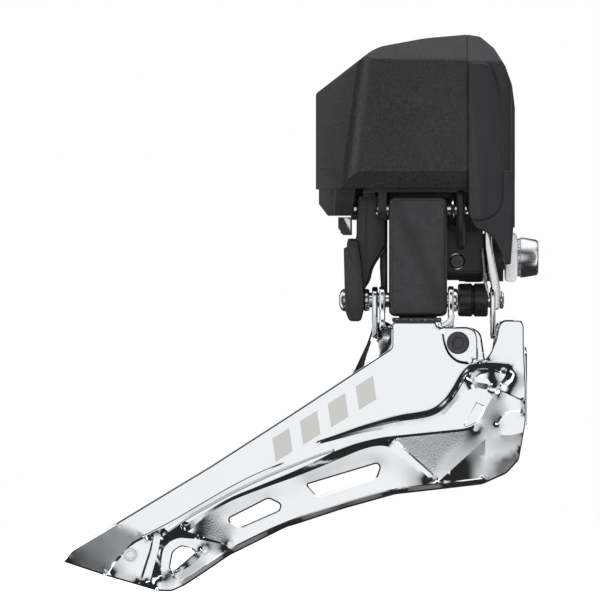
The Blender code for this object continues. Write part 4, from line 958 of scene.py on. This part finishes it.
def circle(x, z, radius, count=40):
    return [Vector((x + radius * math.cos(2 * math.pi * k / count),
                    z + radius * math.sin(2 * math.pi * k / count)))
            for k in range(count)]


def capScrew(x, z, head, key, top, bottom, shank, end):
    # socket screw along Y, its head facing the viewer
    ring = slab(circle(x, z, head), "XZ", top, bottom, [circle(x, z, key, 6)], bevel=head * 0.11, segments=3)
    cup = turned("Y", (x, z), [(bottom - 0.45, 0), (bottom - 0.45, key * 1.1), (bottom + 0.05, key * 1.1),
                               (bottom + 0.05, shank), (end - 0.2, shank), (end, shank - 0.2), (end, 0)], 32)
    return gather(ring, cup)


fastenerSizes = {"bridgeHead": 2.28, "bridgeKey": 1.18, "tailHead": 1.35, "tailKey": 0.72}
addPiece("bridge_cap_screw", capScrew(-9.4, -17.2, fastenerSizes["bridgeHead"], fastenerSizes["bridgeKey"],
                                      -26.7, -25.15, 1.0, -11.1),
         "cage", "black_screws", ["bridge_screw"])
addPiece("tail_cap_screw", capScrew(-75.2, -59.7, fastenerSizes["tailHead"], fastenerSizes["tailKey"],
                                    -26.0, -25.0, 0.7, -11.4),
         "cage", "plated_steel", ["tail_screw"])


def capped(low, high, radius, soft=0.25):
    return [(low, 0), (low, radius - soft), (low + soft * 0.3, radius - soft * 0.3), (low + soft, radius),
            (high - soft, radius), (high - soft * 0.3, radius - soft * 0.3), (high, radius - soft), (high, 0)]


pinSizes = {"lowY": -11.509, "lowZ": -8.6, "outY": -20.509, "highY": -16.6, "highZ": 9.789,
            "hole": 1.55, "longHole": 1.6}


def makePins():
    low = (pinSizes["lowY"], pinSizes["lowZ"])
    out = (pinSizes["outY"], pinSizes["lowZ"])
    high = (pinSizes["highY"], pinSizes["highZ"])
    rod = turned("X", low, [(-33.2, 0), (-33.2, 0.9), (-32.95, 1.7), (-32.5, 2.2), (-32.0, 2.3),
                            (-31.7, 2.3), (-31.7, 1.5), (-0.25, 1.5), (0, 1.3), (0, 0)])
    addPiece("lower_pin", rod, "inner_link", "steel_pins", ["inner_lower_pin"])
    addPiece("lower_pin_clip", turned("X", low, capped(-0.85, -0.15, 1.75, 0.2)), "inner_link",
             "plated_steel", ["inner_pin_clip"])
    addPiece("rear_washer", turned("X", low, capped(-28.3, -27.1, 2.25, 0.35)), "inner_link",
             "plated_steel", ["rear_pin_washer"])
    profile = capped(-24.8, -23.9, 2.3, 0.3)[:-1] + [(-23.9, 1.4), (-10.6, 1.4)]
    profile += capped(-10.6, -9.4, 2.3, 0.35)[1:]
    addPiece("outer_pin_low", turned("X", out, profile), "outer_link", "steel_pins", ["outer_lower_pin"])
    profile = [(-25.8, 0), (-25.8, 1.2), (-25.5, 1.45), (-7.6, 1.45), (-7.3, 1.2), (-7.3, 0)]
    addPiece("outer_pin_high", turned("X", high, profile), "bracket", "steel_pins", ["outer_upper_pin"])
    shim = turned("X", high, [(-10.75, 1.4), (-10.75, 3.4), (-10.55, 3.75), (-10.3, 3.85), (-10.1, 3.75),
                              (-9.95, 3.4), (-9.95, 1.4), (-10.75, 1.4)], 56)
    addPiece("upper_pin_shim", shim, "bracket", "plated_steel")
    drum = turned("X", low, [(-9.3, 1.6), (-9.3, 2.9), (-9.0, 3.3), (-6.6, 3.35), (-6.35, 3.0), (-6.1, 3.0),
                             (-5.9, 3.35), (-3.55, 3.35), (-3.25, 3.0), (-3.25, 1.6), (-9.3, 1.6)], 56)
    addPiece("spring_housing", drum, "inner_link", "drum", ["spring_drum"])


makePins()
print("pins and screws made")

# links
linkShape = {"edge": 0.75, "front": -23.4}


def makeOuterLinkPiece():
    face = slab(softPath([(-23.25, -11.9), (-11.55, -11.9), (-11.55, 12.0), (-23.25, 12.0)], 1.5, 4, True),
                "XZ", linkShape["front"], linkShape["front"] + 2.2, bevel=linkShape["edge"], segments=5)
    parts = [face]
    for low, high in ((-23.2, -21.4), (-13.4, -11.6)):
        cheek = softPath([(-22.9, 11.3), (-17.5, 12.0), (-14.6, 11.4), (-14.4, 8.0), (-17.6, -5.5),
                          (-18.0, -10.5), (-20.4, -11.4), (-22.8, -11.0)], 1.5, 4, True)
        eyes = [circle(pinSizes["highY"], pinSizes["highZ"], pinSizes["hole"]),
                circle(pinSizes["outY"], pinSizes["lowZ"], pinSizes["hole"])]
        parts.append(slab(cheek, "YZ", low, high, eyes, bevel=0.35, segments=3))
    return addPiece("outer_link_arm", gather(*parts), "outer_link", "links_black", ["outer_link"])


def makeDriveArmPiece():
    arm = softPath([(-29.7, 12.9), (-23.45, 12.9), (-23.45, 2.4), (-26.4, -2.2), (-26.9, -4.8),
                    (-28.1, -6.4), (-28.4, -11.0), (-31.0, -11.0), (-31.0, 2.0), (-29.7, 3.8)], 1.2, 2, True)
    pad = softPath([(-31.6, 3.5), (-29.4, 3.5), (-28.7, -1.0), (-28.25, -6.0), (-28.2, -10.5),
                    (-28.8, -12.9), (-31.2, -12.9), (-32.0, -10.8), (-32.3, 1.9), (-31.7, 2.0)], 0.7, 2, True)
    # body behind, pad with its own soft edge in front
    body = slab(arm, "XZ", -12.4, -5.2, bevel=1.0, segments=5)
    front = slab(pad, "XZ", -14.4, -8.6, bevel=0.55, segments=4)
    web = softSlab([(-24.9, 3.5), (-23.45, 3.5), (-23.45, -7.6), (-24.7, -7.6), (-25.0, -2.0)], 0.4, 2,
                   "XZ", -9.6, -6.0, bevel=0.3)
    rib = softSlab([(-29.4, 12.4), (-27.6, 12.4), (-27.9, 1.0), (-28.9, -1.5), (-29.5, 3.0)], 0.8, 2, "XZ",
                   -13.0, -9, bevel=0.6, segments=4)
    return addPiece("drive_arm_body", gather(body, front, rib, web), "inner_link", "links_black",
                    ["drive_arm"])


def makeFrontStrip():
    strip = softPath([(-3.9, 12.2), (-2.5, 12.2), (-2.4, 2.2), (-1.3, -3.4), (-0.75, -6.0), (-0.9, -10.6),
                      (-2.5, -10.6), (-2.5, -6.2), (-3.2, -2.6), (-3.9, 2.4)], 0.8, 1.5, True)
    return addPiece("front_strip", slab(strip, "XZ", -13.6, -6.0, bevel=0.4, segments=4), "inner_link",
                    "plated_steel", ["front_link"])


makeOuterLinkPiece()
makeDriveArmPiece()
makeFrontStrip()
print("links made")

# inner plate and the ears of the cage
innerPlate = {"baseY": -13.2, "thickness": 1.15, "spacing": 1.4, "flare": 1.9}


def makeCageEars():
    parts = []
    for low, high in ((-25.2, -24.0), (-11.4, -10.2)):
        leg = softPath([(-20.5, -5.6), (-17.6, -6.4), (-17.7, -10.0), (-19.5, -12.6), (-22.4, -14.6),
                        (-25.0, -14.6), (-25.3, -12.9), (-23.4, -10.0), (-23.4, -6.4)], 2.2, 0.8, True)
        eye = circle(pinSizes["outY"], pinSizes["lowZ"], pinSizes["hole"])
        parts.append(slab(leg, "YZ", low, high, [eye], bevel=0.42, segments=4))
    # the web that turns the right ear into the plate's top edge
    sweep = [(-12.6, -13.2), (-11.6, -12.7), (-10.9, -11.6), (-10.3, -11.2), (-9.9, -11.9), (-10.6, -13.3),
             (-11.8, -14.0), (-12.6, -14.0)]
    parts.append(softSlab(sweep, 0.7, 0.5, "XZ", -25.6, -20.5, bevel=0.3, segments=3))
    return addPiece("cage_outer_ears", gather(*parts), "cage", "cage_chrome", smooth=40)


def makeInnerPlate():
    outer = [(-86.0, -60.9), (-76, -53.9), (-58.9, -42.6), (-42.3, -31.9), (-30.5, -23.6), (-27.4, -17.0),
             (-26.3, -13.4), (-24.0, -12.7), (-22.0, -14.0), (-6.0, -14.2), (-4.6, -15.4), (-3.8, -20.8),
             (-2.6, -21.2), (-1.9, -14.0), (-1.2, -12.9), (0.6, -12.9), (1.8, -17.5), (3.3, -20.0),
             (3.6, -38.2), (-1, -43.6), (-13, -45.8), (-22, -46.9), (-32.4, -49.8), (-44, -53.6),
             (-55.3, -59.2), (-64.2, -65.2), (-66.9, -66.1), (-79.0, -63.6)]
    path = softPath(outer, 1.2, 0.9, True)
    flare = innerPlate["flare"]

    def levelAt(p):
        return -flare if (p.x < -23 and p.y > 0.649 * p.x - 9) else -0.25

    lines = [(offsetPath(path, -0.35, True), [levelAt(p) + 0.3 for p in path], True)]
    fold = softPath([(-80, -58.2), (-58, -44.5), (-40, -32.9), (-27.5, -24.2), (-22.9, -18.4),
                     (-21.6, -15.5)], 3, 0.9)
    lines.append((fold, [0.0] * len(fold), False))
    holes = []
    windows = ([(-41.6, -45.0), (-41.2, -47.2), (-39.6, -49.2), (-23.8, -44.9), (-23.1, -41.1), (-24.6, -39.4)],
               [(-57.3, -52.0), (-56.9, -54.4), (-54.0, -56.2), (-43.3, -51.6), (-43, -48.6), (-46.9, -46.4)],
               [(-68.0, -58.8), (-68.3, -63.3), (-66.0, -63.8), (-60.8, -59.4), (-61.6, -57.4), (-64.9, -56.9)])
    for points in windows:
        loop = softPath(points, 1.2, 0.6, True)
        holes.append((loop, [-0.2] * len(loop)))
        lines.append((offsetPath(loop, -0.3, True), [0.0] * len(loop), True))
    body = reliefBody((path, [levelAt(p) for p in path]), holes, lines, innerPlate["spacing"],
                      innerPlate["baseY"], innerPlate["thickness"])
    parts = [body]
    for low, high in ((-26.6, -25.4), (-2.8, -1.7)):
        leg = softPath([(-11.5, -5.7), (-8.7, -6.6), (-8.7, -10.6), (-10.8, -13.6), (-11.9, -16.4),
                        (-13.6, -16.4), (-14.3, -10.6), (-14.3, -6.6)], 2.0, 0.8, True)
        eye = circle(pinSizes["lowY"], pinSizes["lowZ"], pinSizes["longHole"])
        parts.append(slab(leg, "YZ", low, high, [eye], bevel=0.4, segments=4))
    nose = softPath([(-24.4, -18.6), (-12.2, -17.9), (-12.2, -33.8), (-23.9, -33.8)], 1.5, 2, True)
    parts.append(slab(nose, "YZ", 3.35, 4.45, bevel=0.35, segments=3))
    return addPiece("cage_inner_plate", gather(*parts), "cage", "cage_chrome", ["inner_plate"], smooth=28)


makeCageEars()
makeInnerPlate()
print("cage made")

# frame bolt
boltShape = {"headHigh": 7.1, "wide": 4.05, "narrow": 3.5}


def makeFrameBolt():
    b = boltShape
    head = turned("X", (0, 0), [(-6.8, 0), (-6.8, 2.2), (-6.5, 2.5), (2.75, 2.5), (2.75, 3.7), (2.85, 3.75),
                                (3.35, 3.75), (3.5, b["wide"]), (4.0, b["wide"]), (6.6, b["narrow"] + 0.12),
                                (6.95, b["narrow"] - 0.1), (b["headHigh"], b["narrow"] - 0.5),
                                (b["headHigh"], 2.0), (4.9, 1.9), (4.6, 0)], 64)
    addPiece("frame_bolt_body", head, "bracket", "bolt_silver", ["mounting_bolt"])
    ring = turned("X", (0, 0), [(0.3, 2.6), (0.3, 4.4), (0.6, 4.85), (1.1, 5.0), (2.0, 5.0), (2.4, 4.9),
                                (2.75, 4.4), (2.75, 2.6), (0.3, 2.6)], 64)
    addPiece("curved_washer", ring, "bracket", "bolt_silver", ["radius_washer"], material=washerSilver)


makeFrameBolt()
print("bolt made")

# housing front, seam and small hardware
shellShape = {"padFront": -24.3, "skirtFront": -24.0}


def makeShellFront():
    pad = softPath([(-7.3, 39.2), (-3.0, 39.0), (-1.7, 36.0), (-0.6, 30.5), (-0.25, 22.0), (-0.2, 12.0),
                    (-0.9, 9.2), (-3.2, 7.4), (-6.2, 7.0), (-7.3, 8.6)], 1.6, 2, True)
    skirt = softPath([(-7.3, 17.5), (-7.2, 8.4), (-5.7, 5.7), (-3.8, 5.1), (-2.1, 3.8), (-0.6, 1.0),
                      (0.25, -1.5), (1.15, -1.45), (1.7, 5.4), (2.0, 14.0), (1.2, 17.5)], 0.7, 2, True)
    front = slab(pad, "XZ", shellShape["padFront"], -22.4, bevel=0.5, segments=4)
    lower = slab(skirt, "XZ", shellShape["skirtFront"], -22.3, bevel=0.45, segments=4)
    addPiece("shell_front", gather(front, lower), "bracket", "bracket")
    lip = cutBody(coverPlanes(0.3) + [(Vector((-8.4, 0, 0)), Vector((-1, 0, 0))),
                                      (Vector((-6.8, 0, 0)), Vector((1, 0, 0)))])
    addPiece("seam_gasket", lip, "bracket", "gasket", ["housing_gasket"])
    sill = softSlab([(-23.3, 11.5), (-8.4, 11.5), (-8.4, 14.3), (-23.3, 14.3)], 0.4, 3, "XZ", -13.0, -9.6,
                    bevel=0.3)
    lug = softSlab([(-20.0, 13.6), (-13.4, 13.6), (-13.2, 6.0), (-15.0, 1.6), (-18.2, 1.6), (-20.2, 6.0)],
                   1.6, 1, "YZ", -9.5, -8.0, bevel=0.45, segments=4)
    addPiece("housing_sill", gather(sill, lug), "bracket", "bracket")
    wall = softSlab([(-30.8, 7.6), (-8.3, 7.6), (-8.3, 14.6), (-30.8, 14.6)], 0.5, 3, "XZ", 2.6, 4.4,
                    bevel=0.3)
    block = softSlab([(-7.9, -5.0), (-4.3, -5.0), (-4.3, 8.0), (-7.9, 8.0)], 0.5, 3, "XZ", -6.0, -1.0,
                     bevel=0.3)
    addPiece("housing_back_wall", gather(wall, block), "bracket", "bracket")
    wedge = softSlab([(-32.4, 8.1), (-30.9, 8.1), (-30.9, 5.0)], 0.2, 1, "XZ", -10.1, -9.3, bevel=0.12)
    addPiece("port_contact", wedge, "bracket", "plated_steel")
    flange = softSlab([(-22.6, -13.0), (-22.6, -12.15), (-12.7, -12.15), (-12.7, -13.0)], 0.25, 2, "XZ",
                      -25.4, -20.0, bevel=0.2)
    inside = softSlab([(-21.2, -13.2), (-21.2, -11.4), (-13.6, -11.4), (-13.6, -13.2)], 0.25, 2, "XZ",
                      -18.7, -17.6, bevel=0.2)
    addPiece("cage_top_flange", gather(flange, inside), "cage", "black_screws")


def fieldTree(name, inputs):
    tree = bpy.data.node_groups.new(name, "GeometryNodeTree")
    ids = {}
    for label, kind, value in inputs:
        socket = tree.interface.new_socket(label, in_out="INPUT", socket_type=kind)
        if value is not None:
            socket.default_value = value
        ids[label] = socket.identifier
    tree.interface.new_socket("Geometry", in_out="OUTPUT", socket_type="NodeSocketGeometry")
    return tree, ids, tree.nodes.new("NodeGroupInput").outputs, tree.nodes.new("NodeGroupOutput").inputs


def bakeTree(name, tree, ids, values):
    # runs a tree on an empty mesh and returns the plain result, in metres
    holder = bpy.data.objects.new(name + "Holder", bpy.data.meshes.new(name + "Holder"))
    addToScene(holder)
    modifier = holder.modifiers.new("tree", "NODES")
    modifier.node_group = tree
    for label, value in values.items():
        modifier[ids[label]] = value
    depsgraph = bpy.context.evaluated_depsgraph_get()
    mesh = bpy.data.meshes.new_from_object(holder.evaluated_get(depsgraph))
    holder.modifiers.clear()
    bpy.data.objects.remove(holder)
    return mesh


def makeRibTree():
    # ribs stood round a ring that lies across X
    tree, ids, given, out = fieldTree("ribsRound",
                                      [("Count", "NodeSocketInt", 24), ("Ring", "NodeSocketFloat", 0.003),
                                       ("Length", "NodeSocketFloat", 0.002),
                                       ("Thick", "NodeSocketFloat", 0.0003),
                                       ("Middle", "NodeSocketVector", (0, 0, 0)),
                                       ("Finish", "NodeSocketMaterial", None)])
    ring = addNode(tree, "GeometryNodeMeshCircle", {"Vertices": given["Count"], "Radius": given["Ring"]})
    size = addNode(tree, "ShaderNodeCombineXYZ",
                   {"X": given["Thick"], "Y": given["Thick"], "Z": given["Length"]})
    rib = addNode(tree, "GeometryNodeMeshCube", {"Size": size.outputs[0]})
    spin = addNode(tree, "FunctionNodeAlignEulerToVector",
                   {"Vector": addNode(tree, "GeometryNodeInputPosition").outputs[0]}, axis="X",
                   pivot_axis="Z")
    many = addNode(tree, "GeometryNodeInstanceOnPoints",
                   {"Points": ring.outputs[0], "Instance": rib.outputs[0], "Rotation": spin.outputs[0]})
    real = addNode(tree, "GeometryNodeRealizeInstances", {0: many.outputs[0]})
    placed = addNode(tree, "GeometryNodeTransform",
                     {"Geometry": real.outputs[0], "Translation": given["Middle"],
                      "Rotation": (0, math.pi / 2, 0)})
    dressed = addNode(tree, "GeometryNodeSetMaterial",
                      {"Geometry": placed.outputs[0], "Material": given["Finish"]})
    tree.links.new(dressed.outputs[0], out[0])
    return tree, ids


def makeStudTree():
    # a straight row of small domes along X
    tree, ids, given, out = fieldTree("studRow",
                                      [("Count", "NodeSocketInt", 7),
                                       ("Start", "NodeSocketVector", (0, 0, 0)),
                                       ("Step", "NodeSocketVector", (0.001, 0, 0)),
                                       ("Radius", "NodeSocketFloat", 0.0002),
                                       ("Finish", "NodeSocketMaterial", None)])
    row = addNode(tree, "GeometryNodeMeshLine",
                  {"Count": given["Count"], "Start Location": given["Start"], "Offset": given["Step"]})
    dome = addNode(tree, "GeometryNodeMeshIcoSphere", {"Radius": given["Radius"], "Subdivisions": 2})
    many = addNode(tree, "GeometryNodeInstanceOnPoints",
                   {"Points": row.outputs[0], "Instance": dome.outputs[0]})
    real = addNode(tree, "GeometryNodeRealizeInstances", {0: many.outputs[0]})
    dressed = addNode(tree, "GeometryNodeSetMaterial",
                      {"Geometry": real.outputs[0], "Material": given["Finish"]})
    tree.links.new(dressed.outputs[0], out[0])
    return tree, ids


def placeBaked(name, mesh, body):
    mesh.name = name
    piece = bpy.data.objects.new(name, mesh)
    addToScene(piece)
    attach(piece, body)


def makeRepeats():
    ribs, ids = makeRibTree()
    setScrew = {"Count": 18, "Ring": 0.0011, "Length": 0.0022, "Thick": 0.00032,
                "Middle": (-0.0272, -0.0165, 0.0133), "Finish": finishes["black_screws"]}
    placeBaked("set_screw_ribs", bakeTree("setScrewRibs", ribs, ids, setScrew), "bracket")
    addPiece("set_screw_core", turned("X", (-16.5, 13.3), capped(-28.5, -25.9, 1.12, 0.2)), "bracket",
             "black_screws")
    collar = {"Count": 40, "Ring": 0.00372, "Length": 0.00045, "Thick": 0.0003, "Middle": (0.0031, 0, 0),
              "Finish": finishes["bolt_silver"]}
    placeBaked("bolt_collar_ribs", bakeTree("boltCollarRibs", ribs, ids, collar), "bracket")
    studs, studIds = makeStudTree()
    row = {"Count": 7, "Start": (-0.0216, -0.0254, -0.01255), "Step": (0.0014, 0, 0), "Radius": 0.00016,
           "Finish": finishes["plated_steel"]}
    placeBaked("flange_studs", bakeTree("flangeStuds", studs, studIds, row), "cage")


makeShellFront()
makeRepeats()
print("housing front and hardware made")
